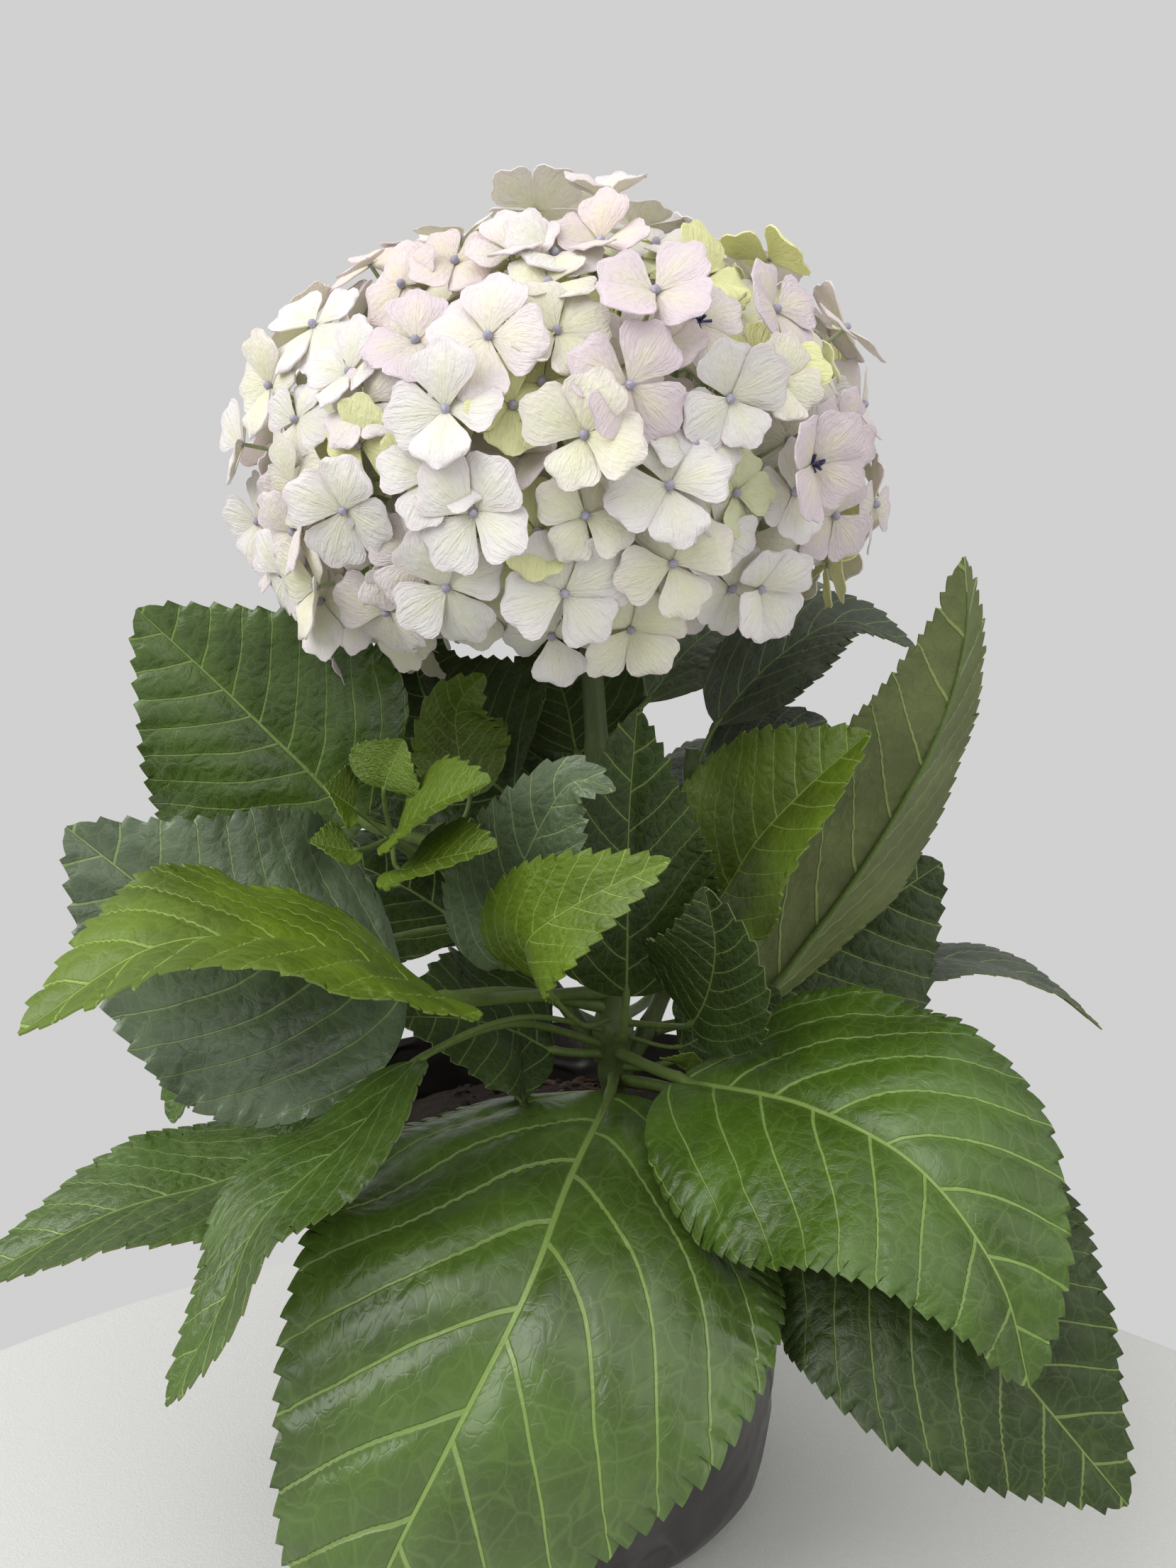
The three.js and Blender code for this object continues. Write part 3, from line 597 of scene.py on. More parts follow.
def vein_marks(tree, given):
    """Masks of a leaf's ribs, of the soft light beside them and of the net between, and its relief."""
    place, veins = given["Place"], given["Veins"]
    along, across, side = tree.split(place)
    arc = tree.plus(tree.times(across, VEIN_LEAN), tree.times(tree.calc("POWER", across, 2.0), VEIN_BEND))
    sway = tree.scaled(tree.noise(place, 5.0, 2.0), 0.22, -0.11)
    phase = tree.times(tree.less(along, arc), veins)
    phase = tree.plus(tree.plus(phase, tree.times(side, VEIN_SHIFT)), sway)
    near = tree.times(tree.calc("ABSOLUTE", tree.less(tree.calc("FRACT", phase), 0.5)), 2.0)
    outward = tree.scaled(across, 0.035, 0.90)
    fading = tree.less(1.0, tree.times(tree.step(across, 0.6, 1.0), 0.6))
    side_rib = tree.times(tree.step(near, outward, tree.plus(outward, 0.05)), fading)
    wide = tree.scaled(along, -0.018, 0.026)
    midrib = tree.less(1.0, tree.step(across, tree.times(wide, 0.45), wide))
    rib = tree.greater(midrib, tree.times(side_rib, 0.85))
    halo = tree.greater(tree.step(near, 0.55, 1.0), tree.less(1.0, tree.step(across, 0.0, 0.12)))
    warp = tree.noise(place, 14.0, 2.0)
    cell = tree.combine(tree.scaled(warp, 1.0, tree.times(tree.times(along, veins), 2.6)),
                        tree.scaled(warp, -1.0, tree.times(across, 8.0)), tree.times(side, 7.0))
    gap = tree.cells(cell, 1.0)
    net = tree.less(1.0, tree.step(gap, 0.005, 0.06))
    small = tree.less(1.0, tree.step(tree.cells(cell, 2.8), 0.0, 0.12))
    relief = tree.scaled(tree.step(gap, 0.0, 0.35), 0.34, tree.times(small, -0.07))
    relief = tree.less(relief, tree.times(rib, 0.8))
    return rib, halo, tree.greater(net, tree.times(small, 0.45)), relief


def petal_marks(tree, given):
    """Masks of a petal's edge and foot, and its crinkled relief."""
    along, across, _ = tree.split(given["Place"])
    sideways = tree.add("ShaderNodeSeparateXYZ", {"Vector": given["Place"]}).outputs[1]

    def wrinkles(lengthwise, crosswise, detail, rough):
        """Uneven height with so many waves along and across the petal."""
        place = tree.combine(tree.times(along, lengthwise), tree.times(sideways, crosswise), given["Shift"])
        return tree.noise(place, 1.0, detail, rough)

    edge = tree.greater(tree.step(across, 0.55, 1.05), tree.step(along, 0.62, 1.05))
    foot = tree.less(1.0, tree.step(along, 0.05, 0.55))
    streak = tree.times(tree.less(1.0, tree.step(across, 0.05, 0.6)),
                        tree.less(1.0, tree.step(along, 0.35, 0.95)))
    ridges, creases = wrinkles(2.2, 15.0, 2.0, 0.6), wrinkles(9.0, 9.0, 2.0, 0.6)
    relief = tree.scaled(ridges, 0.6, tree.times(creases, 0.5))
    relief = tree.scaled(wrinkles(5.0, 38.0, 1.0, 0.5), 0.3, relief)
    return edge, tree.greater(foot, streak), relief


def shade(colour, by, plus=0.0):
    """A colour made lighter or darker."""
    return [min(1.0, c * by + plus) for c in colour]


def between(one, other, share):
    """The colour that lies this share of the way from one to the other."""
    return [(1 - share) * a + share * b for a, b in zip(one, other)]


def new_material(name):
    material = bpy.data.materials.new(name)
    material.use_nodes = True
    tree = Tree(material.node_tree)
    shader = next(n for n in material.node_tree.nodes if n.type == "BSDF_PRINCIPLED")
    return material, tree, shader


def emboss(tree, shader, height, strength, depth):
    """Gives a material a relief of this depth in metres."""
    bump = tree.add("ShaderNodeBump", {"Strength": strength, "Distance": depth, "Height": height})
    tree.feed(shader.inputs["Normal"], bump.outputs[0])


def leaf_pattern(tree, veins):
    group = node_group("leaf veins", [("Place", "NodeSocketVector"), ("Veins", "NodeSocketFloat")],
                       ["Rib", "Halo", "Net", "Relief"], vein_marks)
    node = tree.add("ShaderNodeGroup", node_tree=group)
    tree.feed(node.inputs["Place"], tree.pattern())
    node.inputs["Veins"].default_value = veins
    return node.outputs


def leaf_top(name, base, rib_colour, veins, dull, gleam):
    """A leaf's satin upper side: green that shifts from place to place, with sunken pale veins."""
    material, tree, shader = new_material(name)
    marks = leaf_pattern(tree, veins)
    patch = tree.step(tree.noise(tree.place(), 34.0, 3.0), 0.3, 0.7)
    green, lit = tree.mix(patch, shade(base, 0.72), shade(base, 1.28)), between(base, rib_colour, 0.5)
    for mark, share, colour in (("Halo", 0.14, lit), ("Net", 0.26, lit), ("Rib", 0.85, rib_colour)):
        green = tree.mix(tree.times(marks[mark], share), green, colour)
    tree.feed(shader.inputs["Base Color"], green)
    uneven = tree.noise(tree.place(), 120.0, 3.0)
    tree.feed(shader.inputs["Roughness"], tree.scaled(uneven, 0.22, dull - 0.11))
    shader.inputs["Specular IOR Level"].default_value = gleam
    emboss(tree, shader, marks["Relief"], 0.65, VEIN_DEPTH)
    return material


def leaf_under(name, base, rib_colour, veins):
    """A leaf's paler, duller underside with raised veins."""
    material, tree, shader = new_material(name)
    marks = leaf_pattern(tree, veins)
    patch = tree.step(tree.noise(tree.place(), 40.0, 3.0), 0.3, 0.7)
    green = tree.mix(patch, shade(base, 0.82), shade(base, 1.15))
    green = tree.mix(tree.times(marks["Net"], 0.30), green, shade(base, 0.6))
    green = tree.mix(tree.times(marks["Rib"], 0.75), green, rib_colour)
    tree.feed(shader.inputs["Base Color"], green)
    shader.inputs["Roughness"].default_value = 0.6
    emboss(tree, shader, tree.times(marks["Relief"], -1.0), 0.7, VEIN_DEPTH)
    return material


def petal_paint(name, base, edge, heart, shift):
    """Papery petals with a tinted edge, a yellower foot and fanned ridges."""
    material, tree, shader = new_material(name)
    group = node_group("petal marks", [("Place", "NodeSocketVector"), ("Shift", "NodeSocketFloat")],
                       ["Edge", "Foot", "Relief"], petal_marks)
    node = tree.add("ShaderNodeGroup", node_tree=group)
    tree.feed(node.inputs["Place"], tree.pattern())
    node.inputs["Shift"].default_value = shift
    marks, rosy, warm = node.outputs, between(base, edge, 0.55), between(base, heart, 0.55)
    colour = tree.mix(tree.times(marks["Edge"], 0.75), base, rosy)
    colour = tree.mix(tree.times(marks["Foot"], 0.6), colour, warm)
    fleck = tree.step(tree.noise(tree.place(), 260.0, 4.0), 0.45, 0.7)
    colour = tree.mix(tree.times(fleck, 0.25), colour, rosy)
    tree.feed(shader.inputs["Base Color"], colour)
    for socket, value in (("Roughness", 0.62), ("Subsurface Weight", 0.35), ("Subsurface Scale", 0.002),
                          ("Subsurface Radius", (1.0, 0.9, 0.8))):
        shader.inputs[socket].default_value = value
    emboss(tree, shader, marks["Relief"], 0.7, 0.0012)
    return material


def speckled(name, base, fleck, scale, share=0.5, roughness=0.5, relief=0.0004, stretch=(1, 1, 1)):
    """Plain matter with flecks of a second colour and a fine uneven skin."""
    material, tree, shader = new_material(name)
    place = tree.add("ShaderNodeMapping", {"Vector": tree.place(), "Scale": stretch}).outputs[0]
    coarse, fine = tree.noise(place, scale, 4.0, 0.6), tree.noise(place, scale * 4, 4.0, 0.6)
    colour = tree.mix(tree.step(coarse, share, share + 0.2), base, fleck)
    colour = tree.mix(tree.times(fine, 0.5), colour, shade(base, 0.55))
    tree.feed(shader.inputs["Base Color"], colour)
    tree.feed(shader.inputs["Roughness"], tree.scaled(fine, 0.2, roughness - 0.1))
    emboss(tree, shader, tree.plus(coarse, tree.times(fine, 0.5)), 0.7, relief)
    return material


def film_paint(name, base):
    """Dark polythene with stretch marks, dust and fine crossing creases."""
    material, tree, shader = new_material(name)
    place = tree.add("ShaderNodeMapping", {"Vector": tree.place(), "Scale": (1, 1, 0.25)}).outputs[0]
    marks, dust = tree.noise(place, 90.0, 4.0, 0.6), tree.noise(tree.place(), 55.0, 5.0, 0.6)
    fold = tree.calc("ABSOLUTE", tree.scaled(tree.noise(tree.place(), 21.0, 2.0, 0.5), 2.0, -1.0))
    fold = tree.less(1.0, tree.step(fold, 0.0, 0.10))
    colour = tree.mix(tree.step(dust, 0.35, 0.85), base, shade(base, 1.9, 0.004))
    colour = tree.mix(tree.times(fold, 0.3), colour, shade(base, 2.2, 0.01))
    tree.feed(shader.inputs["Base Color"], colour)
    tree.feed(shader.inputs["Roughness"], tree.scaled(dust, 0.3, 0.22))
    emboss(tree, shader, tree.scaled(marks, 0.5, fold), 0.8, 0.0018)
    return material


# Leaves

# How dull and how strong the sheen on each look's upper side is
LOOKS = {"deep": (0.42, 0.35), "mid": (0.33, 0.7), "fresh": (0.35, 0.55), "bright": (0.44, 0.55),
         "blue": (0.36, 0.75), "grey": (0.5, 0.5)}
STALK_HALF = 2.0  # most half thickness of a leaf's stalk, in millimetres
FEWEST_TEETH, MOST_TEETH = 9, 40  # on each side of a blade
TOOTH_STEPS = np.array([0, 0.32, 0.62, 0.82])  # where a tooth's points lie along its pitch
TOOTH_HEIGHTS = np.array([0, 0.45, 0.85, 1.0])
TOOTH_LEANS = np.array([0, 0, 0.10, 0.28])
TOOTH_DEPTH, TOOTH_LIFT = 0.27, 0.4  # out from the edge, as a share of its pitch, and up, in millimetres
MIDRIB_DEPTH = 1.1  # of the groove over the midrib of a blade 100 mm wide, in millimetres
MIDRIB_HALF = 2.6  # half width of that groove on every blade, in millimetres
RUFFLES = (0.030, 2.3), (0.016, 5.7)  # height at the edge as a share of the half width, and number of waves
BARE_POINTS, RIB_POINTS = 12, 26  # points along the bare stalk and along the rib under the blade


def blade_half(t):
    """Share of a leaf's half width at t along its blade."""
    return np.clip(np.sin(np.pi * t ** 0.74), 0, 1) ** 0.82 * (1 - 0.35 * t ** 3) + 0.02


def smooth(x, low, high):
    x = np.clip((x - low) / (high - low), 0, 1)
    return x * x * (3 - 2 * x)


def leaf_axes(spec, way, start, t):
    """Centre, direction, upper side and sideways direction of a blade at t."""
    share = start + (1 - start) * t
    centre, along = way.at(share), way.along(share)
    face, tip = unit(spec["face"]), unit(spec.get("tip", spec["face"]))
    up = face + (tip - face) * t[:, None]
    up = unit(up - along * np.sum(up * along, -1, keepdims=True))
    return centre, along, up, np.cross(along, up)


def vein_phase(along, across, side, veins):
    """Whole numbers on the side veins, which leave the midrib and bend forward."""
    return veins * (along - VEIN_LEAN * across - VEIN_BEND * across ** 2) + VEIN_SHIFT * side


def blade_lift(spec, t, v, half, across, tooth, settings, rng):
    """How far each point of a blade stands over its flat shape: folds, ruffles, quilting and groove."""
    size = spec["width"] / 100
    near = np.abs(vein_phase(t, across, np.sign(v), settings.veins) % 1 - 0.5) * 2
    bulge = (1 - near ** 4) * np.clip(across * 7, 0, 1) * (1 - across ** 5) * smooth(t, 0, 0.15)
    groove = np.exp(-((v * half / MIDRIB_HALF) ** 2)) * (1 - 0.6 * t)
    a, b, c = rng.random(3) * 6.3
    (long, long_waves), (short, short_waves) = RUFFLES
    ruffle = (long * np.sin(2 * np.pi * long_waves * t + a + v)
              + short * np.sin(2 * np.pi * short_waves * t + b + 2 * np.sign(v)))
    sway = 0.03 * np.sin(3 * t + c) * v
    rise = spec.get("fold", 0) * np.abs(v) - spec.get("droop", 0) * v ** 2 + sway
    rise = rise + 0.05 * v * np.abs(v) * np.sin(9 * t + 2 * v) + ruffle * np.abs(v) ** 3
    return (rise * half + settings.quilting / MM * size * bulge - MIDRIB_DEPTH * size * groove
            + TOOTH_LIFT * size * tooth)


def grow_stalk(name, spec, way, start, stalk):
    """A leaf's bare stalk, and the midrib that carries it on under the blade to near its tip."""
    size = spec["width"] / 100
    bare, rib = np.linspace(0, start, BARE_POINTS, endpoint=False), np.linspace(0, 0.94, RIB_POINTS)
    centre, _, up, _ = leaf_axes(spec, way, start, rib)
    rib_half = stalk * (1 - rib) ** 0.85 + 0.15
    sunk = MIDRIB_DEPTH * size * (1 - 0.6 * rib) * smooth(rib, 0, 0.1) + 0.85 * rib_half
    under = centre - up * sunk[:, None]
    under[0] = centre[0]
    bare_half = stalk * (1 + 0.35 * np.exp(-bare / max(start, 0.01) * 6))
    return branches(name + "_stalk", [(np.vstack([way.at(bare), under]),
                                       np.concatenate([bare_half, rib_half]))], 3)


def grow_leaf(name, spec, root, paints, settings, seed):
    """One leaf: a toothed, quilted blade on its stalk, with the midrib under it."""
    rng = np.random.default_rng(seed)
    points, width = [root, *spec["path"]], spec["width"]
    way = Way(points)
    start = way.nearest(points[spec.get("start", 1)])
    run = way.length * (1 - start)
    teeth = int(np.clip(run / (settings.tooth_pitch / MM), FEWEST_TEETH, MOST_TEETH))
    pitch, steps = run / teeth, len(TOOTH_STEPS)
    piece, s, v = grid(name, teeth * steps, 2 * int(np.clip(width / 6, 5, 24)))
    v = -v
    index = np.rint(s * teeth * steps).astype(int)
    t = (index // steps + TOOTH_STEPS[index % steps]) / teeth
    centre, along, up, side = leaf_axes(spec, way, start, t)
    stalk, end = float(np.clip(width / 42, 0.8, STALK_HALF)), smooth(t, 0.985, 1)
    half = np.maximum(stalk, width / 2 * blade_half(t)) * (1 - end) + 0.5 * end
    edge = np.abs(v) ** 9 * smooth(t, 0.02, 0.12) * (1 - smooth(t, 0.95, 1))
    tooth = TOOTH_HEIGHTS[index % steps] * (0.8 + 0.4 * rng.random(teeth + 1))[index // steps] * edge
    across = np.abs(v) * half / (width / 2)
    lift = blade_lift(spec, t, v, half, across, tooth, settings, rng)
    out = v * half + np.sign(v) * TOOTH_DEPTH * pitch * tooth
    lean = TOOTH_LEANS[index % steps] * pitch * edge
    lay_points(piece, centre + side * out[:, None] + up * lift[:, None] + along * lean[:, None])
    lay_pattern(piece, t, 0.5 + 0.49 * v * half / (width / 2))
    paint(piece, paints["top"], paints["under"], paints["stalk"])
    finish_with(piece, "SOLIDIFY", thickness=settings.thickness * min(1.0, 0.5 + width / 100), offset=0,
                material_offset=1, material_offset_rim=1)
    rod = grow_stalk(name, spec, way, start, stalk)
    paint(rod, paints["stalk"])
    return join([piece, rod], name)


def leaf_paints(settings):
    """The upper side, underside and stalk of each look of leaf."""
    pale, young, veins = list(settings.under), list(settings.under_bright), settings.veins
    stalk = speckled("leaf stalk", settings.stalk, shade(settings.stalk, 1.3), 300.0)
    made = {}
    for look, (dull, gleam) in LOOKS.items():
        top = list(getattr(settings, look))
        rib = between(settings.rib, shade(top, 2.4), 0.5)
        upper = leaf_top(f"leaf {look}", top, rib, veins, dull, gleam)
        under = leaf_under(f"leaf {look} underside", young if look == "bright" else pale,
                           list(settings.rib), veins)
        made[look] = dict(top=upper, under=under, stalk=stalk)
    return made


# Flower head

OUTER_COVER, INNER_COVER = 1.70, 1.72  # how much of the dome florets cover; 2 is the whole ball
CLEAR_OF_LEADS = 12.5  # no other floret of the outer layer is nearer to a leading one, in degrees
CUP = (-0.14, 0.34)  # least and most that a floret's petals rise towards its face
OVERLAP = 0.6  # how far the upper two petals lie over the lower two, in millimetres
BEAD_HALF = 1.3  # half width of a closed bead, in millimetres
STAMENS = 14  # of an opened bead
# Where the head's main stalks fork: degrees from the top, and round the axis
FORKS = [(20, [40]), (25, [220]), (55, [0, 90, 180, 270]), (92, [45, 110, 160, 215, 260, 305, 350]),
         (122, [240, 300, 60, 150])]


def dome(polar, turn, inward=0.0):
    """A place on the head's dome and the way it faces, by degrees from its top and round its axis."""
    p, w = math.radians(polar), math.radians(turn)
    wide, high = DOME["across"], DOME["up"] if polar <= 90 else DOME["down"]
    d = np.array([math.sin(p) * math.cos(w), math.sin(p) * math.sin(w), math.cos(p)])
    place = d * (wide, wide, high)
    facing = unit(d / (wide, wide, high))
    lean = math.radians(DOME["lean"])
    c, s = math.cos(lean), math.sin(lean)
    turned = np.array([[c, 0, s], [0, 1, 0], [-s, 0, c]])
    return turned @ (place - facing * inward) + DOME["centre"], turned @ facing


def model_petal(settings):
    """One broad petal, 1 m long in its own frame: its foot at the middle and its tip along X."""
    piece, u, v = grid("petal", 6, 4)
    u = u ** 0.85
    rise = np.clip(u / 0.62, 0, 1)
    half = 0.50 * np.where(u < 0.62, 0.10 + 0.90 * np.sin(0.5 * np.pi * rise) ** 1.4,
                           np.sqrt(np.clip(1 - ((u - 0.62) / 0.44) ** 2, 0.09, 1)))
    x = 0.05 + 0.95 * u - 0.16 * v ** 2 * u ** 4
    z = 0.05 * np.sin(np.pi * u * 0.9) - 0.03 * v ** 2 * u + 0.030 * np.sin(5 * u + 3 * v) * u
    z = z + 0.022 * np.sin(9 * u * v + 2) * u
    lay_points(piece, np.stack([x, v * half, z], -1) / MM)
    lay_pattern(piece, u, 0.5 + 0.5 * v)
    finish_with(piece, "SOLIDIFY", thickness=settings.thickness / settings.petal, offset=0)
    return piece


def floret_places(settings):
    """Leading florets first, then even places over the dome wherever none is near, then the inner ones."""
    places = []
    for polar, turn, spin, reach, name in LEADING_FLORETS:
        places.append(dict(polar=polar, turn=turn, spin=spin, reach=reach, deep=(18 - reach) * 1.5,
                           tilt=0.13, show=0.3, shade=name))
    leads = [unit(dome(p["polar"], p["turn"])[0] - DOME["centre"]) for p in places]
    golden, rng = 180 * (3 - math.sqrt(5)), np.random.default_rng(11)
    near_lead = math.cos(math.radians(CLEAR_OF_LEADS))
    for i in range(settings.florets):
        polar = math.degrees(math.acos(1 - (i + 0.5) * OUTER_COVER / settings.florets))
        turn = (i * golden + 8 * (rng.random() - 0.5)) % 360
        spin, reach, deep = rng.random() * 90, 14.5 + 3.5 * rng.random(), 7 * rng.random() - 1
        out = unit(dome(polar, turn)[0] - DOME["centre"])
        if all(out @ lead < near_lead for lead in leads):
            places.append(dict(polar=polar, turn=turn, spin=spin, reach=reach, deep=deep, tilt=0.22, show=0,
                               shade=TINTS[int(rng.random() * len(TINTS))]))
    for i in range(settings.inner):
        polar = math.degrees(math.acos(1 - (i + 0.3) * INNER_COVER / settings.inner))
        turn = (i * golden + 200 + 10 * (rng.random() - 0.5)) % 360
        places.append(dict(polar=polar, turn=turn, spin=rng.random() * 90, reach=14.5 + 2.5 * rng.random(),
                           deep=11 + 8 * rng.random(), tilt=0.3, show=0,
                           shade=INNER_TINTS[int(rng.random() * len(INNER_TINTS))]))
    return places


def floret_axes(place):
    """Centre, facing and the two directions of a floret's plane."""
    centre, facing = dome(place["polar"], place["turn"], place["deep"])
    if facing[2] < 0:
        facing = unit(facing * (1, 1, 0.35))
    facing = unit(facing + place["show"] * FRONT)
    across = unit(np.array([1.0, 0, 0]) - facing * facing[0]) if abs(facing[0]) < 0.9 else unit(
        np.cross([0, 0, 1.0], facing))
    return centre, facing, across, np.cross(facing, across)


def lay_petals(petal, place, centre, facing, right, above, rng):
    """A floret's four petals, every other one laid over its neighbours."""
    cup, first, petals = rng.uniform(*CUP), int(rng.integers(2)), []
    for k in range(4):
        w = math.radians(place["spin"] + 90 * k + rng.normal(0, 6))
        out, over = right * math.cos(w) + above * math.sin(w), (k + first) % 2
        tip = unit(out + facing * (cup + 0.05 * over + rng.normal(0, 0.15)))
        side = unit(np.cross(facing, tip) + facing * rng.normal(0, 0.17))
        size = place["reach"] * MM * rng.uniform(0.92, 1.08) * (1.04 if over else 0.98)
        broad = size * rng.uniform(0.94, 1.12)
        matrix = frame_of(tip * size, side * broad, np.cross(tip, side) * size * rng.uniform(0.6, 1.6),
                          centre + facing * (OVERLAP if over else 0.0))
        petals.append(copy_of(petal, matrix))
    return petals


def grow_florets(settings):
    """Every floret's petals, joined by tint, with their beads."""
    petal = model_petal(settings)
    deselect()
    bpy.ops.mesh.primitive_uv_sphere_add(segments=8, ring_count=6, radius=BEAD_HALF * MM)
    bead = bpy.context.object
    rng = np.random.default_rng(5)
    shades, beads, spikes = {}, [], []
    for place in floret_places(settings):
        centre, facing, right, above = floret_axes(place)
        facing = unit(facing + rng.normal(0, place["tilt"], 3))
        right = unit(right - facing * (right @ facing))
        above = np.cross(facing, right)
        shades.setdefault(place["shade"], []).extend(
            lay_petals(petal, place, centre, facing, right, above, rng))
        if (place["polar"], place["turn"]) in OPENED:
            for _ in range(STAMENS):
                out = unit(facing + rng.normal(0, 0.75, 3))
                foot = centre + facing * 0.8
                spikes.append(([foot, foot + out * rng.uniform(2.2, 3.6)], [0.28, 0.45]))
        else:
            beads.append(copy_of(bead, frame_of(right, above, facing, centre + facing * BEAD_HALF)))
    for spare in (petal, bead):
        bpy.data.objects.remove(spare)
    for n, (name, petals) in enumerate(sorted(shades.items())):
        edge = settings.heart if name in ("yellow", "green") else settings.edge
        piece = join(petals, f"petals_{name}")
        paint(piece, petal_paint(f"petals {name}", list(getattr(settings, name)), list(edge),
                                 list(settings.heart), n * 3.7))
        settle(piece, "petals", "flower_head")
    for name, piece, colour in (
            ("floret_beads", join(beads, "floret_beads"), settings.bead),
            ("floret_stamens", branches("floret_stamens", spikes, 0), settings.stamen)):
        paint(piece, speckled(name.replace("_", " "), colour, shade(colour, 1.6), 900.0, relief=0.0002))
        settle(piece, "petals", "flower_head")


def grow_pedicels(settings, stems):
    """Forked stalks from the stem's tip to every floret."""
    tip, lines = stems["main"]["way"].at(0.985), []
    knots = [tip + 0.42 * (dome(polar, turn)[0] - tip) for polar, turns in FORKS for turn in turns]
    for knot in knots:
        s = np.linspace(0, 1, 7)
        lines.append((Way([tip, tip + 0.4 * (knot - tip) + (0, 0, 5), knot]).at(s), 2.3 - 0.9 * s))
    for place in floret_places(settings):
        centre, facing, _, _ = floret_axes(place)
        knot = min(knots, key=lambda k: np.linalg.norm(k - centre))
        s = np.linspace(0, 1, 8)
        way = Way([knot, knot + 0.45 * (centre - knot) + (0, 0, 2), centre - facing * 7, centre])
        lines.append((way.at(s), 1.0 - 0.35 * s))
    piece = branches("floret_stalks", lines, 1)
    paint(piece, speckled("floret stalks", settings.pedicel, shade(settings.pedicel, 1.2), 400.0))
    settle(piece, "petals", "flower_head")


# Bag and compost

def rim_height(w):
    """The bag's rim, which dips to one side and waves."""
    return BAG["rim"] - BAG["dip"] * np.maximum(0, np.cos(w + 1.45)) + 1.6 * np.sin(3 * w + 0.6)


def bag_half(z, w):
    """The bag's half width at a height, with its belly and pleats."""
    c = BAG["corner"]
    curve = np.sqrt(np.clip(1 - (1 - np.minimum(z, c) / c) ** 2, 0, 1))
    belly = np.where(z > c, 2 * np.sin(np.pi * (z - c) / (BAG["rim"] - c)), 0)
    pleat = 0.6 * np.sin(BAG["pleats"] * w + z / 55) + 0.8 * np.sin(3 * w + 1.3 - z / 80)
    wide = BAG["foot"] + (BAG["radius"] - BAG["foot"]) * curve
    return wide + belly + np.minimum(1, z / 40) * BAG["depth"] * pleat


def creases(w, z, seed, folds):
    """Sharp crossing creases, from -1 to 0."""
    rng = np.random.default_rng(seed)
    total = np.zeros_like(w)
    for _ in range(folds):
        turns, climb, shift = int(rng.integers(3, 15)), rng.normal(0, 0.07), rng.random() * 6.3
        total -= np.abs(np.sin(0.5 * (turns * w) + climb * z + shift)) ** 0.6 * rng.random()
    return total / folds


BROAD_FOLD, FINE_FOLD, FOLD_OUT = 6.5, 3.2, 4.2  # depths of the film's creases and what fills them out again
BAG_BASE, SOIL_TOP = 0.14, 0.6  # share of each grid that makes the bag's flat foot and the compost's top


def mound_height(share):
    """The compost's height at a share of the way from its middle to its edge."""
    return SOIL["edge"] + SOIL["mound"] * (1 - share ** 3)


# Operators

class HYDRANGEA_OT_bag(bpy.types.Operator):
    """Build the creased film bag"""
    bl_idname = "hydrangea.bag"
    bl_label = "Grow bag"

    def execute(self, context):
        pot = context.scene.hydrangea_pot
        piece, s, v = grid("grow_bag_film", 240, 76)
        w, q = 2 * np.pi * s, (v + 1) / 2
        base, wall = q / BAG_BASE, np.clip((q - BAG_BASE) / (1 - BAG_BASE), 0, 1)
        z = wall ** 1.25 * rim_height(w)
        broad, fine = creases(w, z, 3, 9), creases(w, z * 2.5, 8, 9)
        fold = broad * BROAD_FOLD + fine * FINE_FOLD + FOLD_OUT
        r = np.where(q < BAG_BASE, BAG["foot"] * base, bag_half(z, w)) + fold * smooth(z, 0, 14)
        lay_round(piece, r + 1.6 * smooth(wall, 0.93, 1.0) * (1 + np.sin(5 * w)), w, z)
        close_seams(piece)
        finish_with(piece, "SOLIDIFY", thickness=pot.film_thickness, offset=-1)
        paint(piece, film_paint("bag film", list(pot.film)))
        settle(piece, "bag_film", "grow_bag")
        return {"FINISHED"}


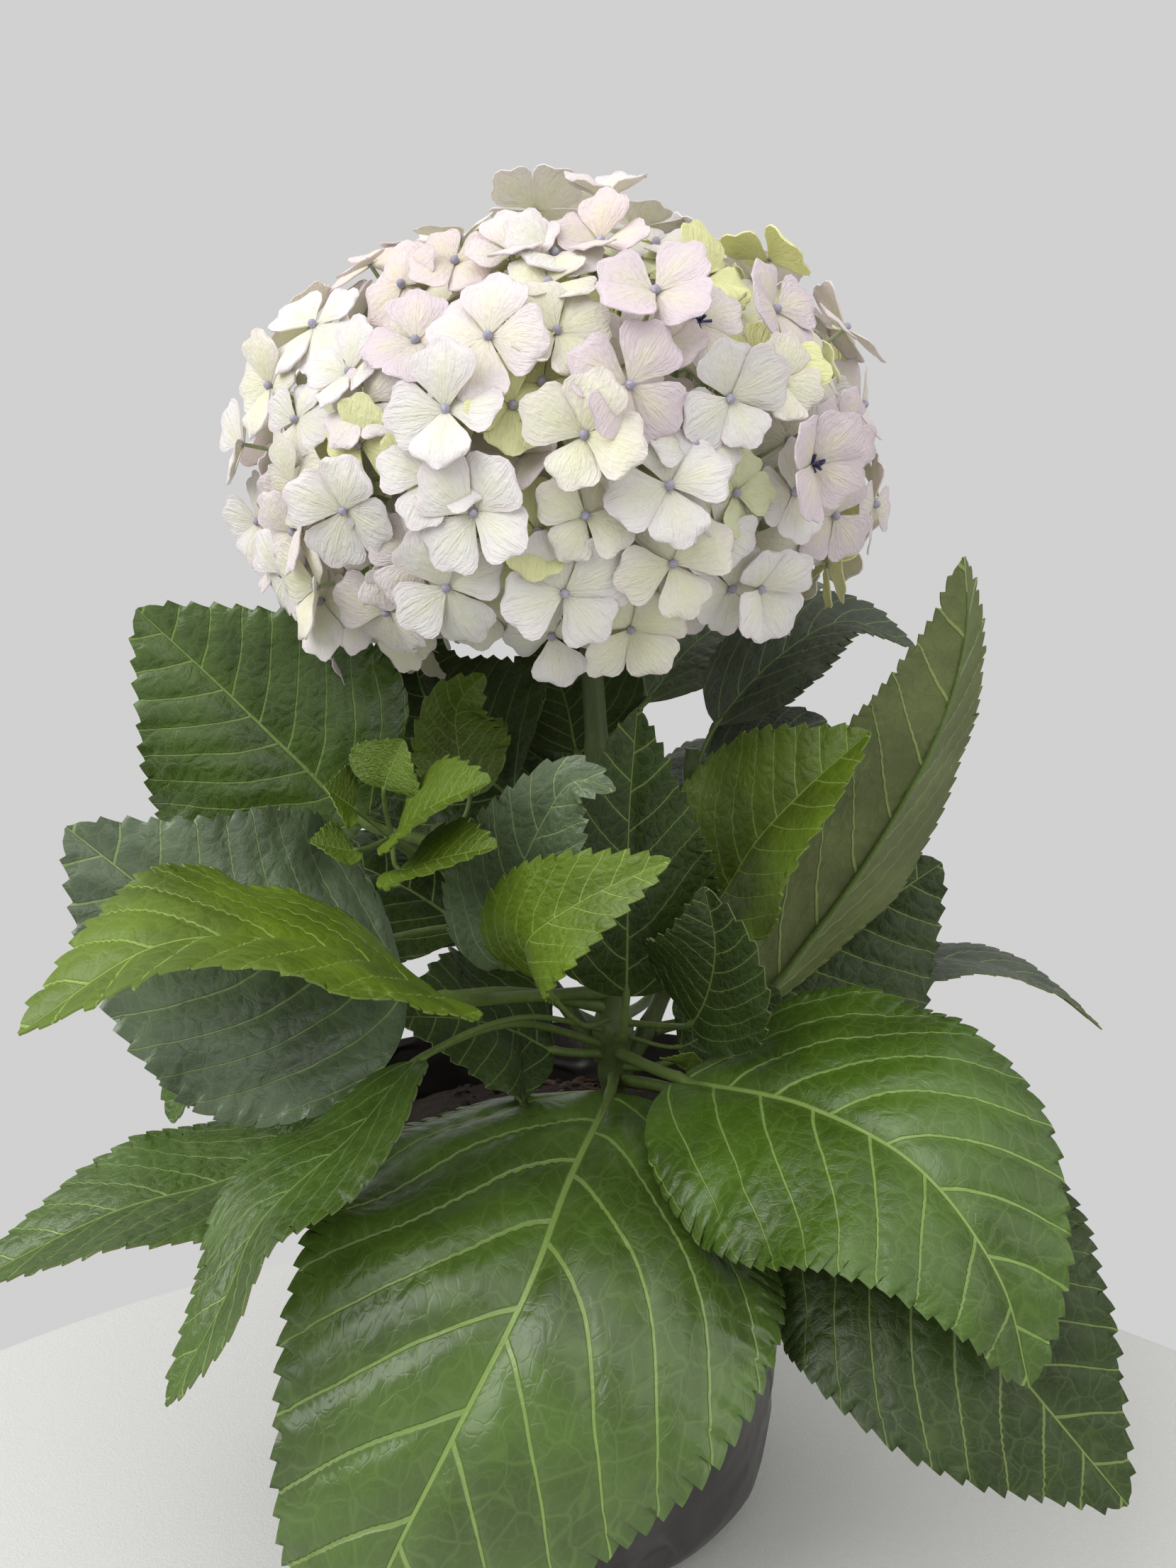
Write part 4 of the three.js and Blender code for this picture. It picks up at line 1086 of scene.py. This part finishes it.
class HYDRANGEA_OT_compost(bpy.types.Operator):
    """Build the compost with its crumbs and dry scraps"""
    bl_idname = "hydrangea.compost"
    bl_label = "Compost"

    def execute(self, context):
        pot = context.scene.hydrangea_pot
        piece, s, v = grid("compost", 120, 64)
        w, q = 2 * np.pi * s, (v + 1) / 2
        share, low = np.clip(q / SOIL_TOP, 0, 1), np.clip((q - SOIL_TOP) / (1 - SOIL_TOP), 0, 1)
        inner = bag_half(np.full_like(w, SOIL["edge"]), w) - 4.5
        lumps = 1.6 * np.sin(9 * w + 31 * share) * np.sin(23 * share + 4 * w)
        lumps = lumps + 0.9 * np.sin(21 * w - 47 * share)
        top = mound_height(share) + 1.3 * np.sin(3 * w + 9 * share)
        z = np.where(q <= SOIL_TOP, top + lumps * share * (1 - 0.5 * share), SOIL["edge"] - 1.5 - low * 60)
        lay_round(piece, inner * share * (1 - smooth(low, 0.6, 1)), w, z)
        close_seams(piece)
        flecks = [c * 0.5 + 0.2 * d for c, d in zip(pot.compost, pot.debris)]
        paint(piece, speckled("compost", pot.compost, flecks, 160.0, 0.55, 0.85, 0.0016))
        settle(piece, "soil", "soil")
        self.scatter(pot)
        return {"FINISHED"}

    def scatter(self, pot):
        """Loose crumbs over the mound, and dry scraps near the stem's foot."""
        rng = np.random.default_rng(21)
        deselect()
        bpy.ops.mesh.primitive_ico_sphere_add(subdivisions=2, radius=MM)
        crumb = bpy.context.object
        points = np.empty(len(crumb.data.vertices) * 3)
        crumb.data.vertices.foreach_get("co", points)
        points = points.reshape(-1, 3) / MM
        lay_points(crumb, points * (1 + 0.22 * np.sin(5 * points[:, :1] + 3 * points[:, 1:2])
                                    + 0.15 * np.sin(7 * points[:, 2:] + 2)))
        heaps = {"compost_crumbs": [], "dry_scraps": []}
        for i in range(pot.crumbs):
            dry = i % 3 == 0
            turn = rng.random() * 6.3
            out = 8 + 30 * rng.random() if dry else 70 * math.sqrt(rng.random())
            middle = STEMS["main"]["path"][0] if dry else (0, 0)
            x, y = middle[0] + out * math.cos(turn), middle[1] + out * math.sin(turn)
            z = mound_height(min(0.97, math.hypot(x, y) / 74)) + 0.8
            if dry:  # scraps lie nearly flat
                a = rng.random() * 6.3
                c, s = math.cos(a), math.sin(a)
                axes = np.array([[c, s, 0.1], [-s, c, 0.2], [0, -0.2, 1]])
            else:
                axes = np.linalg.qr(rng.normal(size=(3, 3)))[0]
            size = rng.uniform(0.8, 2.4) * np.array((2.2, 0.8, 0.35) if dry else (1, 0.8, 0.7))
            matrix = frame_of(axes[0] * size[0], axes[1] * size[1], axes[2] * size[2], (x, y, z))
            heaps["dry_scraps" if dry else "compost_crumbs"].append(copy_of(crumb, matrix))
        bpy.data.objects.remove(crumb)
        shades = {"compost_crumbs": pot.compost, "dry_scraps": pot.debris}
        for name, pieces in heaps.items():
            piece = join(pieces, name)
            paint(piece, speckled(name.replace("_", " "), shades[name], shade(shades[name], 1.8), 420.0,
                                  0.5, 0.85, 0.0005))
            settle(piece, "soil", "soil")


class HYDRANGEA_OT_stems(bpy.types.Operator):
    """Build the main stem and its two side shoots"""
    bl_idname = "hydrangea.stems"
    bl_label = "Stems"

    def execute(self, context):
        pot = context.scene.hydrangea_pot
        stems = grow_stems()
        green = speckled("stem", list(pot.stem), list(pot.lenticel), 170.0, 0.58, 0.45, 0.0006, (1, 1, 0.4))
        for name, stem in stems.items():
            share = np.linspace(0, 1, 90)
            points = stem["way"].at(share)
            radii = stem_half(stem, share)
            for borne in LEAVES + TUFTS:
                if borne["on"] == name:  # the stem swells where a stalk leaves it
                    radii = radii + 0.7 * np.exp(-((points[:, 2] - borne["at"]) / 3.5) ** 2)
            piece = branches(stem["node"] + "_skin", [(points, radii)], 4)
            paint(piece, green)
            settle(piece, "stem_green", stem["node"])
        return {"FINISHED"}


class HYDRANGEA_OT_leaves(bpy.types.Operator):
    """Build every large leaf on its stalk"""
    bl_idname = "hydrangea.leaves"
    bl_label = "Leaves"

    def execute(self, context):
        settings, stems = context.scene.hydrangea_leaf, grow_stems()
        paints = leaf_paints(settings)
        for n, spec in enumerate(LEAVES):
            root = springing(stems[spec["on"]], spec["at"], spec["path"][0])
            name = spec["node"] + "_blade"
            piece = grow_leaf(name, spec, root, paints[spec["look"]], settings, 100 + n)
            settle(piece, "leaf_green", spec["node"])
        for n, tuft in enumerate(TUFTS):
            root = springing(stems[tuft["on"]], tuft["at"], tuft["path"][0])
            way = Way([root, *tuft["path"]])
            share = np.linspace(0, 1, 16)
            parts = [branches("twig", [(way.at(share), tuft["twig"] * (1 - 0.3 * share))], 3)]
            paint(parts[0], paints["bright"]["stalk"])
            for k, young in enumerate(tuft["leaves"]):
                parts.append(grow_leaf(f"young_{k}", dict(young, fold=0.25), way.at(0.95),
                                       paints["bright"], settings, 300 + 10 * n + k))
            piece = join(parts[::-1], tuft["node"] + "_leaves")
            settle(piece, "young_leaf", tuft["node"])
        return {"FINISHED"}


class HYDRANGEA_OT_head(bpy.types.Operator):
    """Build the flower head: florets, beads and forked stalks"""
    bl_idname = "hydrangea.head"
    bl_label = "Flower head"

    def execute(self, context):
        settings = context.scene.hydrangea_head
        grow_florets(settings)
        grow_pedicels(settings, grow_stems())
        return {"FINISHED"}


class HYDRANGEA_OT_stage(bpy.types.Operator):
    """Set the floor, the surround, the lights and the camera"""
    bl_idname = "hydrangea.stage"
    bl_label = "Stage"

    def execute(self, context):
        stage, scene = context.scene.hydrangea_stage, context.scene
        deselect()
        bpy.ops.mesh.primitive_cylinder_add(vertices=160, radius=FLOOR["radius"], depth=FLOOR["depth"],
                                            location=FLOOR["place"])
        floor = context.object
        floor.name = "floor"
        bpy.ops.object.transform_apply(location=True)
        finish_with(floor, "BEVEL", width=FLOOR["edge"], segments=4, limit_method="ANGLE")
        paint(floor, speckled("floor cloth", list(stage.floor), shade(stage.floor, 1.05), 900.0,
                              0.5, 0.8, 0.0003))
        self.surround(scene, stage)
        for name, (place, size) in LAMPS.items():
            bpy.ops.object.light_add(type="AREA", location=place)
            lamp = context.object
            lamp.name, lamp.data.size, lamp.data.energy = name + "_light", size, getattr(stage, name)
            lamp.rotation_euler = (Vector(AIMED_AT) - Vector(place)).to_track_quat("-Z", "Y").to_euler()
        bpy.ops.object.camera_add(location=CAMERA["place"], rotation=(math.radians(CAMERA["tilt"]), 0, 0))
        camera = context.object
        camera.data.lens, camera.data.clip_start = CAMERA["lens"], CAMERA["nearest"]
        scene.camera = camera
        scene.view_settings.view_transform = "Standard"
        return {"FINISHED"}

    def surround(self, scene, stage):
        """An even pale surround, dimmer as light than it looks."""
        world = bpy.data.worlds.new("surround")
        scene.world = world
        world.use_nodes = True
        tree = Tree(world.node_tree)
        back = next(n for n in world.node_tree.nodes if n.type == "BACKGROUND")
        seen = tree.add("ShaderNodeLightPath").outputs["Is Camera Ray"]
        tree.feed(back.inputs["Color"], list(stage.wall))
        tree.feed(back.inputs["Strength"], tree.scaled(seen, 0.18, 0.82))


class HYDRANGEA_PT_panel(bpy.types.Panel):
    """Lists the pieces and their settings"""
    bl_idname = "HYDRANGEA_PT_panel"
    bl_label = "Potted hydrangea"
    bl_space_type = "VIEW_3D"
    bl_region_type = "UI"
    bl_category = "Hydrangea"

    def draw(self, context):
        for group, operators in PANEL_ROWS:
            box = self.layout.box()
            for operator in operators:
                box.operator(operator.bl_idname)
            settings = getattr(context.scene, group)
            for key in type(settings).__annotations__:
                box.prop(settings, key)


SETTINGS = {"hydrangea_leaf": LeafSettings, "hydrangea_head": HeadSettings,
            "hydrangea_pot": PotSettings, "hydrangea_stage": StageSettings}
OPERATORS = [HYDRANGEA_OT_bag, HYDRANGEA_OT_compost, HYDRANGEA_OT_stems, HYDRANGEA_OT_leaves,
             HYDRANGEA_OT_head, HYDRANGEA_OT_stage]
PANEL_ROWS = [("hydrangea_pot", OPERATORS[:3]), ("hydrangea_leaf", OPERATORS[3:4]),
              ("hydrangea_head", OPERATORS[4:5]), ("hydrangea_stage", OPERATORS[5:])]


def register():
    for kind in [*SETTINGS.values(), *OPERATORS, HYDRANGEA_PT_panel]:
        bpy.utils.register_class(kind)
    for name, group in SETTINGS.items():
        setattr(bpy.types.Scene, name, bpy.props.PointerProperty(type=group))


def unregister():
    for name in SETTINGS:
        delattr(bpy.types.Scene, name)
    for kind in reversed([*SETTINGS.values(), *OPERATORS, HYDRANGEA_PT_panel]):
        bpy.utils.unregister_class(kind)


def main():
    register()
    for operator in OPERATORS:
        getattr(bpy.ops.hydrangea, operator.bl_idname.split(".")[1])()


if __name__ == "__main__":
    main()
